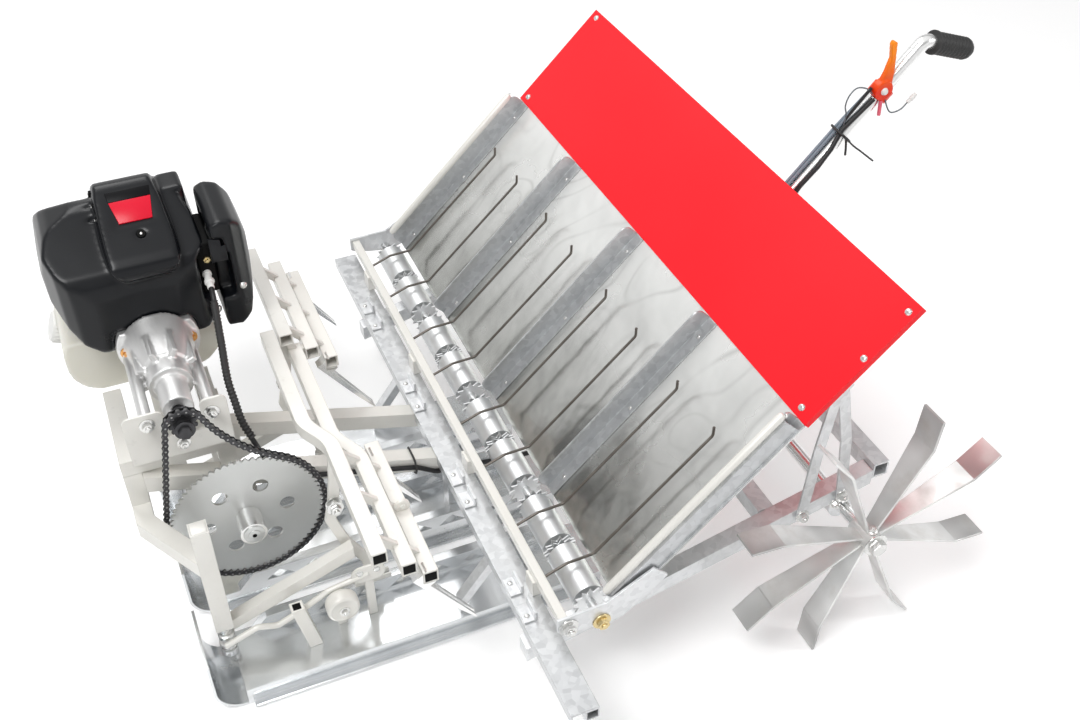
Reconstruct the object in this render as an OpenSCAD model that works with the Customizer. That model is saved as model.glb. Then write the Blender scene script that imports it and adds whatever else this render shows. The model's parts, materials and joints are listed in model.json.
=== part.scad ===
// Walk-behind rice transplanter, four rows. X runs across the machine, +Y points at the
// operator's handle, Z is up and the floats stand on Z = 0. Millimetres.

/* [Rows and tray] */
// Distance between two planted rows, which is one tray lane
row_pitch = 180; // [160:1:200]
// Number of rows
rows = 4; // [2:2:4]
// Slope of the seedling tray in degrees
tray_tilt = 43.7; // [40:0.1:48]
// Length of the tray sheet up its slope
tray_len = 272; // [240:1:300]
// Height of a lane divider's fin
fin_h = 23; // [15:1:30]
// Sheet metal of the tray
tray_t = 1.5; // [1:0.1:2]
// Length of the extension panel above the tray
panel_len = 162; // [120:1:200]
// Height of the tray's lower edge above the ground
fold_z = 148.5; // [140:0.5:160]
// Sideways place of the tray as parked
tray_rest = -39; // [-43:1:60]

/* [Frame] */
// Square tube of the frame
tube_w = 20; // [16:1:22]
// Wall of every square tube
tube_t = 1.6; // [1.2:0.1:2.5]
// Front end of the frame
front_y = -448; // [-455:1:-446]
// Height of the front cross tube
front_z = 170; // [165:1:175]
// Half the distance between the two front posts
post_x = 125; // [120:1:130]
// Half length of the seedling gate rail
gate_half = 424; // [410:1:440]

/* [Floats] */
// Width of one float
float_w = 86; // [80:1:90]
// Height of a float
float_h = 24; // [18:1:30]
// Distance between two floats
float_pitch = 143; // [140:1:150]
// Rear end of the floats
float_rear = 50; // [0:1:80]

/* [Drive] */
// Pitch of the roller chain
chain_pitch = 8; // [8:0.5:9.5]
// Teeth on the crank sprocket
big_teeth = 67; // [55:1:68]
// Teeth on the engine sprocket
small_teeth = 11; // [10:1:13]
// Diameter over the paddle wheel's tips
wheel_d = 338; // [300:1:350]
// Half the distance between the two paddle wheels
wheel_x = 357; // [355:1:370]
// Paddles on one wheel
paddles = 8; // [6:2:8]

/* [Planting] */
// Length of one planting claw
claw_len = 121; // [110:1:125]
// Square tube of the planting frame
plant_w = 16; // [14:1:17]

/* [Hidden] */
$fn = 48;
gap = 0.3;             // pieces of one body that only meet
run_gap = 0.06;        // radial running fit of a shaft
steel = [0.74, 0.75, 0.76];
cream = [0.84, 0.83, 0.79];
dull = [0.60, 0.61, 0.62];
black = [0.09, 0.09, 0.10];
red = [0.90, 0.12, 0.14];

lanes_w = rows * row_pitch;
side_margin = 13;                     // tray sheet beyond the outer dividers
claw_x = [for (i = [0:rows - 1]) (i - (rows - 1) / 2) * row_pitch];
lane_x = [for (i = [0:rows]) (i - rows / 2) * row_pitch];

// Shafts as [y, z]
crank = [-330.5, 146];
out = [-374, 303];
// Inner and outer corner of a paddle's bent tip, as [y, z] about the axle
tip = 38;
tip_bend = 18;
tip_len = tip / cos(tip_bend) - 1;
tip_in = [-1.5 - tip_len * sin(tip_bend), wheel_d / 2 - tip - 0.5 + tip_len * cos(tip_bend)];
tip_out = tip_in + 3 * [cos(tip_bend), sin(tip_bend)];
function tip_drop(p) = p[1] * cos(180 / paddles) + abs(p[0]) * sin(180 / paddles);
axle = [288, max(tip_drop(tip_in), tip_drop(tip_out))];
rocker = [-212, 62];
roller = [-24, 143];
press = [-66, 158];
crank_r = 9;
out_r = 6;
axle_r = 8;
rocker_r = 5;

// First chain
sprocket_x = 45;
sprocket_t = 3;
big_r = chain_pitch / (2 * sin(180 / big_teeth));
small_r = chain_pitch / (2 * sin(180 / small_teeth));
tooth_h = 1;                          // tip above the pitch circle
chain_lift = 4.5;                     // pin circle above the pitch circle, clear of the tips
roller_r = 2.4;
plate_h = 3.3;
plate_t = 1.2;
chain_in = 4.4;                       // free width between the link plates
sag_r = 180;                          // radius of the slack run

// Frame lines, as [y, z]
rail_x = [-70, 15];
gate = [-74, 122];
gate_w = 15;
gate_plate = [31.1, 2];                 // width and sheet of the plate on the gate rail
gate_front = gate[0] + gate_w / 2 - gate_plate[0];
leg_y = front_y + tube_w / 2;
rail_front = [leg_y + tube_w / 2 + gap, 215];
rail_end = [gate[0] - gate_w / 2 - gap, 113];
rail_slope = atan2(rail_end[1] - rail_front[1], rail_end[0] - rail_front[0]);
bed_z = rail_front[1] + tube_w / 2 / cos(rail_slope) + gap + tube_w / 2;
post_y = -388;
brace_x = 120.5;                      // braces behind the posts, beside the rocker arms
side_x = 300;
side_front = [-98, 89];
side_rear = [axle[0] + 34, axle[1] + 31.1];
side_slope = atan2(side_rear[1] - side_front[1], side_rear[0] - side_front[0]);
handle_x = 0;
cross_y = 200;
handle_foot = [cross_y + 8, side_z(cross_y) + 22.3];
handle_top = [542, 538];
stem_r = 9;
grip_dir = [0.944, -0.33];             // the grip's direction from the top, as [y, z]
slide_v = 330;                        // slide bar's place up the tray's slope
slide_r = 7;
frame_bar = 10;                       // bars under the tray
frame_rib = 250;                      // half distance between its long bars
panel_lip = 6;
float_y = -418;
nose_r = 34;
float_rail_h = 22;

// Planting frame, tubes as [y, z]
tube_a = [-235, 273];
tube_b = [-207, 245];
tube_c = [-186, 224];
claw_angle = -54.5;
gang_bend = -19;                      // the near gang's inner tubes step forward by this
gang_x = [-102.8, -87, 60, 115, 277];   // inner ends, bend start, bend end, outer end

function lerp_z(a, b, y) = a[1] + (y - a[0]) * (b[1] - a[1]) / (b[0] - a[0]);
function rail_z(y) = lerp_z(rail_front, rail_end, y);
function side_z(y) = lerp_z(side_front, side_rear, y);
rail_half = tube_w / 2 / cos(rail_slope);
side_half = tube_w / 2 / cos(side_slope);
function polar(c, r, a) = c + r * [cos(a), sin(a)];
// A point of the tray, v up its slope and n off the sheet, as [y, z]
function tray_point(v, n) = [v * cos(tray_tilt) - n * sin(tray_tilt),
    fold_z + v * sin(tray_tilt) + n * cos(tray_tilt)];
slide_bar = tray_point(slide_v, -tray_t - gap - frame_bar - 0.5 - slide_r);

// Bar with upright ends between two [y, z] points, from x0 to x1; half is its half height.
module yz_bar(x0, x1, a, b, half) {
    along_x(x0, x1) polygon([[a[0], a[1] - half], [b[0], b[1] - half],
        [b[0], b[1] + half], [a[0], a[1] + half]]);
}

// Square tube along X, hollow where t is its wall.
module x_tube(x0, x1, p, w = tube_w, t = 0) {
    along_x(x0, x1) translate(p) difference() {
        square(w, center = true);
        if (t > 0) square(w - 2 * t, center = true);
    }
}

// Square tube bent in a level plane, through a list of [x, y] points.
module plan_tube(pts, z, w = tube_w) {
    n = len(pts) - 1;
    translate([0, 0, z - w / 2]) linear_extrude(w) polygon(concat(
        [for (i = [0:n]) pts[i] + w / 2 * mitre(pts, i)],
        [for (i = [n:-1:0]) pts[i] - w / 2 * mitre(pts, i)]));
}

// Round bar along X, and the same between any two points.
module x_cyl(x0, x1, p, r) {
    translate([x0, p[0], p[1]]) rotate([0, 90, 0]) cylinder(r = r, h = x1 - x0);
}
module rod(a, b, r) {
    d = b - a;
    translate(a) rotate([0, acos(d[2] / norm(d)), atan2(d[1], d[0])])
        cylinder(r = r, h = norm(d));
}
function unit(v) = v / norm(v);

// Arc of round bar of radius r, from point a, that leaves along u and turns towards w.
module rod_bend(a, u, w, r, bend, turn) {
    n = cross(-w, u);
    c = a + bend * w;
    multmatrix([[-w[0], u[0], n[0], c[0]], [-w[1], u[1], n[1], c[1]], [-w[2], u[2], n[2], c[2]]])
        rotate_extrude(angle = turn) translate([bend, 0]) circle(r);
}

// Round bar through a list of points, bent at each to a centre-line radius. Its bends are a
// hair thicker, and its straight parts run a little way into them.
module bent_rod(pts, r, bend) {
    last = len(pts) - 2;
    thick = 1.015 * r;
    run = 0.5 * sqrt(2 * bend * (thick - r));
    way = [for (i = [0:last]) unit(pts[i + 1] - pts[i])];
    turn = [for (i = [0:last + 1]) i == 0 || i > last ? 0 : acos(way[i - 1] * way[i])];
    cut = [for (t = turn) bend * tan(t / 2)];
    for (i = [0:last]) {
        rod(pts[i] + (i > 0 ? cut[i] - run : 0) * way[i],
            pts[i + 1] - (i < last ? cut[i + 1] - run : 0) * way[i], r);
        if (i > 0) rod_bend(pts[i] - cut[i] * way[i - 1], way[i - 1],
            unit(way[i] - (way[i - 1] * way[i]) * way[i - 1]), thick, bend, turn[i]);
    }
}

module round_rect(w, h, r) {
    square([w - 2 * r, h], center = true);
    square([w, h - 2 * r], center = true);
    for (x = [-1, 1], y = [-1, 1]) translate([x * (w / 2 - r), y * (h / 2 - r)]) circle(r);
}

// Flat strip of width w through a list of points, mitred between them and rounded at its ends.
function side_of(d) = [-d[1], d[0]] / norm(d);
function mitre(pts, i) = let (n = len(pts) - 1, a = side_of(pts[max(i, 1)] - pts[max(i, 1) - 1]),
    b = side_of(pts[min(i, n - 1) + 1] - pts[min(i, n - 1)]), m = unit(a + b)) m / (m * a);
module strip(pts, w) {
    n = len(pts) - 1;
    turn_in = pts[1] - pts[0];
    turn_out = pts[n] - pts[n - 1];
    a0 = atan2(turn_in[1], turn_in[0]);
    a1 = atan2(turn_out[1], turn_out[0]);
    polygon(concat([for (i = [0:n]) pts[i] + w / 2 * mitre(pts, i)],
        [for (t = [60:-30:-60]) pts[n] + w / 2 * [cos(a1 + t), sin(a1 + t)]],
        [for (i = [n:-1:0]) pts[i] - w / 2 * mitre(pts, i)],
        [for (t = [240:-30:120]) pts[0] + w / 2 * [cos(a0 + t), sin(a0 + t)]]));
}

// Profile drawn in [y, z] and run along X.
module along_x(x0, x1) {
    translate([x0, 0, 0]) rotate([90, 0, 90]) linear_extrude(x1 - x0) children();
}
// Profile drawn in [x, z] and run along Y.
module along_y(y0, y1) {
    translate([0, y1, 0]) rotate([90, 0, 0]) linear_extrude(y1 - y0) children();
}

// Tray frame: X across, Y up the slope, Z off the sheet.
module on_tray() {
    translate([tray_rest, 0, fold_z]) rotate([tray_tilt, 0, 0]) children();
}

/* Frame */

// Leg under the engine bed, the bent front cross tube and the two posts.
module front_frame() {
    x = rail_x[1] - 10;
    foot = 72;
    color(cream) {
        translate([x - tube_w / 2, leg_y - tube_w / 2, front_z - tube_w / 2])
            cube([tube_w, tube_w, bed_z - front_z - gap]);
        plan_tube([[-post_x, post_y], [x - 36, leg_y], [x + 35, leg_y], [post_x, post_y]], front_z);
        for (s = [-1, 1]) {
            yz_bar(s * brace_x - 7, s * brace_x + 7, [post_y + tube_w / 2 - 1, 68],
                [-232, 124], 8);
            translate([s * post_x, post_y, 0]) difference() {
                translate([-tube_w / 2, -tube_w / 2, foot]) cube([tube_w, tube_w, 230 - foot]);
                for (z = [foot - 1, 200]) translate([-tube_w / 2 + tube_t, -tube_w / 2 + tube_t, z])
                    cube([tube_w - 2 * tube_t, tube_w - 2 * tube_t, 31]);
            }
        }
    }
}

// Tubes across the rails under the engine's mount.
module engine_bed() {
    x = rail_x[1] - 10;
    y1 = -325;
    leg = [y1 - tube_w, y1];
    color(cream) {
        translate([x - tube_w / 2, leg_y - tube_w / 2, bed_z - tube_w / 2])
            cube([tube_w, y1 - leg_y + tube_w / 2, tube_w]);
        for (y = [leg_y, -338]) translate([-112, y - tube_w / 2, bed_z - tube_w / 2]) difference() {
            cube([112, tube_w, tube_w]);
            translate([-1, tube_t, tube_t]) cube([41, tube_w - 2 * tube_t, tube_w - 2 * tube_t]);
        }
        for (xr = [rail_x[0], x]) along_x(xr - tube_w / 2, xr + tube_w / 2)
            polygon([[leg[0], rail_z(leg[0]) + rail_half + gap],
                [leg[1], rail_z(leg[1]) + rail_half + gap], [leg[1], bed_z], [leg[0], bed_z]]);
    }
}

module main_rails() {
    color(cream) for (x = rail_x) yz_bar(x - tube_w / 2, x + tube_w / 2, rail_front, rail_end,
        rail_half);
}

// Blocks under the rails that carry the crankshaft.
module crank_bearings() {
    y = crank[0];
    color(cream) for (x = rail_x) difference() {
        along_x(x - 8, x + 8) polygon([[y - 18, crank[1] - 4], [y - 10, crank[1] - 20],
            [y + 10, crank[1] - 20], [y + 18, crank[1] - 4],
            [y + 18, rail_z(y + 18) - rail_half - gap], [y - 18, rail_z(y - 18) - rail_half - gap]]);
        x_cyl(x - 10, x + 10, crank, crank_r + run_gap);
    }
}

// What holds the floats: screws at the front posts, braces and posts at the gate rail.
module float_struts() {
    x_in = float_pitch - float_w / 2;
    color(cream) {
        for (s = [-1, 1]) {
            translate([s * post_x, post_y, float_h + gap]) {
                cylinder(r = 5, h = 72 - float_h - 2 * gap);
                cylinder(r = 9, h = 8);
            }
            yz_bar(s * (float_pitch + 28) - 7, s * (float_pitch + 28) + 7,
                [-128, float_h + gap + 9], [gate[0], gate[1] - gate_w / 2 - gap - 9], 9);
        }
        translate([-10, gate[0] - gate_w / 2, float_h + gap])
            cube([20, gate_w, gate[1] - gate_w / 2 - float_h - 2 * gap]);
    }
}

// Cross rail under the tray's lower edge: open square tube with a sheet plate on top.
module gate_rail() {
    color(steel) {
        x_tube(-gate_half, gate_half, gate, gate_w, 1.5);
        translate([-gate_half, gate_front, gate[1] + gate_w / 2])
            cube([2 * gate_half, gate_plate[0], gate_plate[1]]);
        difference() {
            translate([-gate_half, gate_front, gate[1] - 4]) cube([2 * gate_half, 2, gate_w / 2 + 5]);
            for (x = rail_x) translate([x - tube_w / 2 - 1, gate_front - 1, gate[1] - 5])
                cube([tube_w + 2, 4, gate_w / 2 + 8]);
        }
    }
}

module seedling_gates() {
    top = gate[1] + gate_w / 2 + gate_plate[1] + gap;
    color(steel) for (x = claw_x) translate([x, gate_front + 1, top]) difference() {
        union() {
            translate([-32, 0, 0]) cube([64, 15, 2]);
            translate([-32, 12, 0]) cube([64, 3, 12]);
        }
        translate([-7, -1, -1]) cube([14, 30, 15]);
    }
}

// Float of folded sheet with a rolled-up nose, a foot flange and a notched rail.
module float(x, rails) {
    y1 = float_y + nose_r;
    hw = float_w / 2;
    color(steel) {
        translate([x - hw, y1, 0]) cube([float_w, float_rear - y1, float_h]);
        translate([x - hw - 8, y1 + 6, 0]) cube([float_w + 16, float_rear - y1 - 6, 3]);
        along_x(x - hw, x + hw) {
            translate([y1, nose_r]) intersection() {
                difference() {
                    circle(nose_r);
                    circle(nose_r - 3);
                }
                translate([-2 * nose_r, -2 * nose_r]) square(2 * nose_r);
            }
            translate([float_y, nose_r - 1]) square([3, 48]);
        }
        for (s = rails) translate([s > 0 ? hw + x - 12 : x - hw, 0, 0]) difference() {
            along_x(0, 12) polygon([[-360, float_h - 1], [float_rear - 20, float_h - 1],
                [float_rear - 40, float_h + float_rail_h], [-340, float_h + float_rail_h]]);
            for (y = [-330:44:-20]) along_x(-1, 13) polygon([[y + 4, float_h + 4],
                [y + 38, float_h + 4], [y + 21, float_h + float_rail_h - 5]]);
        }
    }
}
module float_left() float(-float_pitch, [1]);
module float_centre() float(0, [-1, 1]);
module float_right() float(float_pitch, [-1]);

// Plates with a pin on each outer float's inner rail, for the planting frame's rocker arms.
module rocker_brackets() {
    z0 = float_h + float_rail_h + gap;
    x0 = float_pitch - float_w / 2;
    color(cream) for (s = [-1, 1]) {
        for (d = [0.3, 9.2]) along_x(s > 0 ? x0 + d : -x0 - d - 2.5, s > 0 ? x0 + d + 2.5 : -x0 - d)
            union() {
                translate(rocker) circle(9);
                translate([rocker[0] - 22, z0]) square([44, 6]);
                translate([rocker[0] - 9, z0]) square([18, rocker[1] - z0]);
            }
        x_cyl(s > 0 ? x0 - 2 : -x0 - 14, s > 0 ? x0 + 14 : -x0 + 2, rocker, rocker_r);
    }
}

// Lever for the near float: a bent rod with a roller and a holed plate, on two uprights, and a
// short open socket for its handle.
module float_lever() {
    x = 139;
    roller_at = [-259, 75];
    plate_at = [-222, 97];
    top = float_h + gap;
    color(cream) {
        bent_rod([for (p = [[-392, 51], [-354, 66], [-332, 58], [-310, 67], [-270, 88], plate_at])
            [x, p[0], p[1]]], 3.5, 10);
        along_x(x - 1.5, x + 1.5) difference() {
            union() {
                for (d = [-8, 8]) translate(plate_at + [d, 0]) circle(12);
                translate(plate_at - [8, 12]) square([16, 24]);
            }
            for (d = [-1, 1]) translate(plate_at + [d * 10, 4]) circle(3);
        }
        x_cyl(x - 6, x + 7.5, roller_at, 3);
        x_cyl(x + 7, x + 23, roller_at, 18);
        translate([x - 5, plate_at[0] - 5, top]) cube([5, 10, plate_at[1] - 8 - top]);
        translate([x - 5, roller_at[0] - 5, top]) cube([5, 10, roller_at[1] + 4 - top]);
        along_x(x + 4, x + 18) polygon([[-303, top], [-288, top], [-301, 92], [-316, 92]]);
    }
}

/* Engine */

// Sheet bracket with two ears and a fold that lies on the engine bed.
module engine_mount() {
    x = 23;
    z0 = bed_z + tube_w / 2 + gap;
    ears = [[-434, -391], [-353, -324]];
    color(steel) {
        translate([x, ears[0][0], z0]) cube([3, ears[1][1] - ears[0][0], 28]);
        translate([x - 33, ears[0][0], z0]) cube([34, ears[1][1] - ears[0][0], 3]);
        for (e = ears) along_x(x, x + 3) {
            translate([e[0], z0]) square([e[1] - e[0], 58]);
            translate([e[0] + 8, z0]) square([e[1] - e[0] - 16, 66]);
            for (y = [e[0] + 8, e[1] - 8]) translate([y, z0 + 58]) circle(8);
        }
    }
}

// Clutch housing with ribs and feet, and the plain crankcase behind it.
module engine_block() {
    feet = [[-409, 298], [-342, 294]];
    color(dull) difference() {
        union() {
            x_cyl(-160, -119, out, 40);
            along_x(-120, -100) intersection() {
                translate(out) circle(46);
                translate(out + [-60, -60]) square([120, 84]);
            }
            translate([-104, out[0], out[1]]) rotate([0, 90, 0]) cylinder(r1 = 41, r2 = 27, h = 56);
            x_cyl(-50, -22, out, 24);
            x_cyl(-22, 19.7, out, 17);
            for (i = [0:7]) translate([0, out[0], out[1]]) rotate([i * 45 + 22.5, 0, 0])
                translate([-101, 14, -3.2]) cube([60, 21, 6.4]);
            for (y = [-35, 35]) x_cyl(-118, -95, out + [y, 3], 8);
            for (f = feet) x_cyl(-102, 22.7, f, 7);
            translate([-270, out[0] - 50, out[1] + 30]) cube([115, 100, 60]);
            translate([-192, -325, 340]) cube([62, 31.7, 60]);
        }
        x_cyl(-20, 30, out, out_r + run_gap);
    }
}

shroud_y = [-476, -298];              // left and right side of the shroud
shroud_z = [299, 443];
shroud_x = [-287, -106];              // back and front
slope = [[-106, 386], [-190, 440]];   // sloping part of the front, as [x, z]
slope_a = atan2(slope[1][1] - slope[0][1], slope[1][0] - slope[0][0]);

// Side view of the shroud, as [x, z]: upright front, slope and falling back.
module shroud_side() {
    polygon([[shroud_x[0] + 12, shroud_z[0] + 6], [-240, shroud_z[0]],
        [shroud_x[1] - 6, shroud_z[0]], [shroud_x[1] - 1, shroud_z[0] + 6],
        [shroud_x[1], 330], [shroud_x[1] - 1, 372], slope[0] + [-4, 0], slope[0] + [-14, 13],
        slope[1] + [6, -1], slope[1] + [-6, 3], slope[1] + [-20, 1], [-228, 428],
        [shroud_x[0] + 20, 396], [shroud_x[0] + 6, 378], [shroud_x[0], 360]]);
}

// The same from the front, as [y, z].
module shroud_front() {
    polygon([[-430, shroud_z[0]], [-312, shroud_z[0]], [-304, 304], [-300, 316],
        [shroud_y[1], 340], [shroud_y[1] - 1, 395], [-304, 422], [-312, 436], [-322, 442],
        [-405, 444], [-430, 441], [-455, 432], [-463, 426], [-469, 414], [shroud_y[0], 372],
        [shroud_y[0] + 2, 350], [-465, 334], [-450, 313]]);
}

// And from above, as [x, y].
module shroud_plan() {
    polygon([[shroud_x[0], -440], [-282, -456], [-268, -468], [-240, -475], [-200, -477],
        [-160, -473], [-128, -462], [-113, -450], [-107, -430], [-106, -390], [-107, -340],
        [-113, -314], [-128, -301], [-150, -298], [-268, -298], [-282, -306],
        [shroud_x[0], -322]]);
}

// Moulded cover: sloping front with a raised panel, crease, side step and cleaner's opening.
module engine_shroud() {
    color(black) difference() {
        union() {
            intersection() {
                along_x(shroud_x[0], shroud_x[1]) shroud_front();
                along_y(shroud_y[0] - 2, shroud_y[1] + 2) shroud_side();
                translate([0, 0, shroud_z[0]]) linear_extrude(160) shroud_plan();
            }
            intersection() {
                along_y(-404, -328) polygon([[-120, 386], [-104, 390], [-101, 400], [-104, 408],
                    [-112, 415], [-184, 460], [-192, 463], [-204, 461], [-222, 445], [-222, 400]]);
                along_x(-240, -100) polygon([[-404, 420], [-402, 452], [-396, 470], [-340, 470],
                    [-332, 448], [-328, 418], [-329, 404], [-336, 392], [-348, 386], [-384, 386],
                    [-396, 392], [-403, 404]]);
            }
            translate([-228, -330, 420]) cube([40, 26, 24]);
        }
        // room for the crankcase, the flange and the inlet
        translate([-270.3, out[0] - 50.3, out[1] + 29.7]) cube([115.6, 100.6, 60.6]);
        x_cyl(-161, -118, out, 40.3);
        along_x(-120.3, -100) intersection() {
            translate(out) circle(46.3);
            translate(out + [-60, -60]) square([120, 84.3]);
        }
        translate([-192.3, -325.3, 339.7]) cube([62.6, 42.3, 60.6]);
        translate([-131, -312, 336]) cube([40, 20, 58]);
        // blank recessed plate and screw hole on the panel
        translate([-112, -366, 415]) rotate([0, 180 - slope_a, 0]) {
            translate([-82, -22, -1.5]) cube([44, 44, 10]);
            translate([-26, 4, -6]) cylinder(r = 4, h = 20);
        }
        // vent slots beside the panel and the crease on the left
        for (i = [0:2]) translate([-206 + i * 14, -412, 447 - i * 9]) cube([5, 12, 12]);
        translate([-106, -448, 380]) rotate([0, -8, -10]) cylinder(r1 = 7, r2 = 1, h = 60);
    }
}

// Housing over the air filter, with an opening at its front edge for the linkage.
module air_cleaner() {
    color(black) difference() {
        intersection() {
            along_x(-214, -118) polygon([[-293, 290], [-276, 288], [-262, 298], [-254, 330],
                [-250, 365], [-251, 395], [-256, 416], [-266, 428], [-282, 431], [-293, 426]]);
            translate([0, 0, 280]) linear_extrude(160) polygon([[-118, -293], [-118, -270],
                [-126, -258], [-145, -251], [-190, -250], [-206, -258], [-214, -272],
                [-214, -293]]);
        }
        translate([-200, -294, 380]) cube([90, 14, 30]);
        translate([-140, -294, 330]) cube([30, 18, 60]);
    }
}

module fuel_tank() {
    color([0.9, 0.9, 0.88]) difference() {
        along_x(-286, -143) intersection() {
            translate([-390, 271]) round_rect(176, 92, 40);
            translate([-480, 220]) square([180, 78.7]);
        }
        x_cyl(-161, -119, out, 40.3);
    }
    color(black) translate([-235, -466, 258]) rotate([68, 0, 0]) cylinder(r = 17, h = 22);
}

module recoil_starter() {
    color(black) difference() {
        union() {
            x_cyl(-298, shroud_x[0] - gap, out + [0, 8], 56);
            x_cyl(-306, -297, out + [0, 8], 44);
        }
        for (i = [0:7]) translate([0, out[0], out[1] + 8]) rotate([i * 45, 0, 0])
            translate([-307, 20, -4]) cube([6, 18, 8]);
    }
}

/* First chain: a loop of links, set just outside the sprockets' tips so that they turn free. */

r1 = small_r + chain_lift;
r2 = big_r + chain_lift;
span = norm(crank - out);
span_a = atan2(crank[1] - out[1], crank[0] - out[0]);
tight_a = span_a - 90 - asin((r2 - r1) / span);          // contact angle of the tight run
o1 = sag_r + r1;
o2 = sag_r + r2;
sag_a1 = span_a + acos((span * span + o1 * o1 - o2 * o2) / (2 * span * o1));
sag_a2 = span_a + 180 - acos((span * span + o2 * o2 - o1 * o1) / (2 * span * o2));
sag_c = polar(out, o1, sag_a1);
tight_len = sqrt(span * span - (r2 - r1) * (r2 - r1));
wrap2 = sag_a2 - tight_a;
wrap_big = wrap2 < 0 ? wrap2 + 360 : wrap2;
wrap_small = tight_a + 360 - sag_a1;
sag_turn = sag_a2 - sag_a1;
lens = [tight_len, r2 * wrap_big * PI / 180, sag_r * sag_turn * PI / 180,
    r1 * wrap_small * PI / 180];
loop_len = lens[0] + lens[1] + lens[2] + lens[3];
links = 2 * round(loop_len / chain_pitch / 2);
link_l = loop_len / links;

// Point of the loop at a length s along it.
function loop_at(s) =
    s < lens[0] ? polar(out, r1, tight_a)
        + (polar(crank, r2, tight_a) - polar(out, r1, tight_a)) * s / lens[0]
    : s < lens[0] + lens[1] ? polar(crank, r2, tight_a + (s - lens[0]) / r2 * 180 / PI)
    : s < lens[0] + lens[1] + lens[2]
        ? polar(sag_c, sag_r, sag_a2 + 180 - (s - lens[0] - lens[1]) / sag_r * 180 / PI)
    : polar(out, r1, sag_a1 + (s - lens[0] - lens[1] - lens[2]) / r1 * 180 / PI);
function wrap_s(s) = s < 0 ? s + loop_len : s >= loop_len ? s - loop_len : s;
function loop_dir(s) = let (d = loop_at(wrap_s(s + 1)) - loop_at(wrap_s(s - 1))) d / norm(d);
function loop_side(s, h) = let (d = loop_dir(s)) loop_at(wrap_s(s)) + h * [d[1], -d[0]];

// One run of link plates all round, waisted between the pins.
module plate_run() {
    steps = [for (i = [0:2 * links - 1]) i];
    outer = [for (i = steps) loop_side(i * link_l / 2, i % 2 == 0 ? plate_h : plate_h * 0.6)];
    inner = [for (i = steps) loop_side(i * link_l / 2, i % 2 == 0 ? -plate_h : -plate_h * 0.6)];
    difference() {
        polygon(outer);
        polygon(inner);
    }
}

module first_chain() {
    color(black) {
        for (s = [-1, 1]) translate([s > 0 ? chain_in / 2 : -chain_in / 2 - plate_t, 0, 0])
            along_x(sprocket_x, sprocket_x + plate_t) plate_run();
        for (i = [0:links - 1])
            translate([sprocket_x - chain_in / 2, 0, 0]) translate([0, loop_at(i * link_l)[0],
                loop_at(i * link_l)[1]]) rotate([0, 90, 0])
                cylinder(r = roller_r, h = chain_in, $fn = 6);
    }
}

/* Rear frame */

module side_bar(s) {
    color(steel) {
        yz_bar(s * side_x - tube_w / 2, s * side_x + tube_w / 2, side_front, side_rear, side_half);
        translate([s * side_x - 7, gate[0] - 7, side_z(gate[0])])
            cube([14, 14, gate[1] - gate_w / 2 - gap - side_z(gate[0])]);
    }
}
module side_bar_left() side_bar(-1);
module side_bar_right() side_bar(1);

// Two cross bars between the side bars, the front one with the handle's socket.
module rear_cross_bars() {
    end = side_x - tube_w / 2 - gap;
    z = side_z(cross_y);
    color(steel) {
        x_tube(-end, end, [cross_y, z]);
        x_tube(-side_x - tube_w / 2, side_x + tube_w / 2,
            [side_rear[0] + tube_w / 2 + gap, side_rear[1] + 8], tube_w, 2);
        for (s = [-1, 1]) along_x(handle_x + (s > 0 ? stem_r + gap : -stem_r - gap - 3),
            handle_x + (s > 0 ? stem_r + gap + 3 : -stem_r - gap))
            polygon([[cross_y - 10, z + 9], [cross_y + 10, z + 9], [cross_y + 46, z + 52],
                [cross_y + 28, z + 64], [cross_y - 10, z + 26]]);
    }
}

// Bearings of the drive axle, hung under the side bars.
module axle_bearings() {
    y = axle[0];
    color(steel) for (s = [-1, 1]) difference() {
        along_x(s * side_x - 10, s * side_x + 10) union() {
            translate(axle) circle(17);
            polygon([[y - 17, axle[1]], [y + 17, axle[1]],
                [y + 17, side_z(y + 17) - side_half + 4], [y - 17, side_z(y - 17) - side_half + 4]]);
        }
        x_cyl(s * side_x - 12, s * side_x + 12, axle, axle_r + run_gap);
        yz_bar(s * side_x - 12, s * side_x + 12, side_front, side_rear, side_half + gap);
    }
}

// Flat straps from the side bars up to the tray's slide bar.
module tray_straps() {
    x = side_x + tube_w / 2 + gap;
    legs = [[232, side_z(232)], [282, side_z(282)]];
    color(steel) for (s = [-1, 1]) along_x(s > 0 ? x : -x - 3, s > 0 ? x + 3 : -x) {
        for (leg = legs) strip([leg, lerp_pt(leg, slide_bar, 0.5) + [leg[0] < 260 ? -3 : 5, 0],
            slide_bar], 13);
    }
}
function lerp_pt(a, b, t) = a + (b - a) * t;

module tray_slide_bar() {
    color(steel) x_cyl(-side_x - tube_w / 2, side_x + tube_w / 2, slide_bar, slide_r);
}

module handle_stem() {
    pts = [handle_foot, handle_top, handle_top + 12 * grip_dir];
    color(steel) bent_rod([for (p = pts) [handle_x, p[0], p[1]]], stem_r, 12);
}

// Ribbed grip, bent back from the stem.
module handle_grip() {
    len = 73;
    color(black) translate([handle_x, handle_top[0], handle_top[1]])
        rotate([atan2(grip_dir[1], grip_dir[0]) - 90, 0, 0]) rotate_extrude()
            polygon(concat([[0, 12.3], [14.5, 12.3], [14.5, 15]],
                [for (i = [0:8]) each [[12.6, 17 + i * 5.5], [13.6, 20 + i * 5.5]]],
                [[12.4, len - 5], [9, len], [0, len]]));
}

stem_dir = unit(handle_top - handle_foot);
stem_len = norm(handle_top - handle_foot);
throttle = stem_len - 75;             // way up the stem to the lever's clamp
clamp_half = 8;
pivot = [2, 9];                       // the lever's pivot from there, along and off the stem
pivot_r = 12.5;

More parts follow.
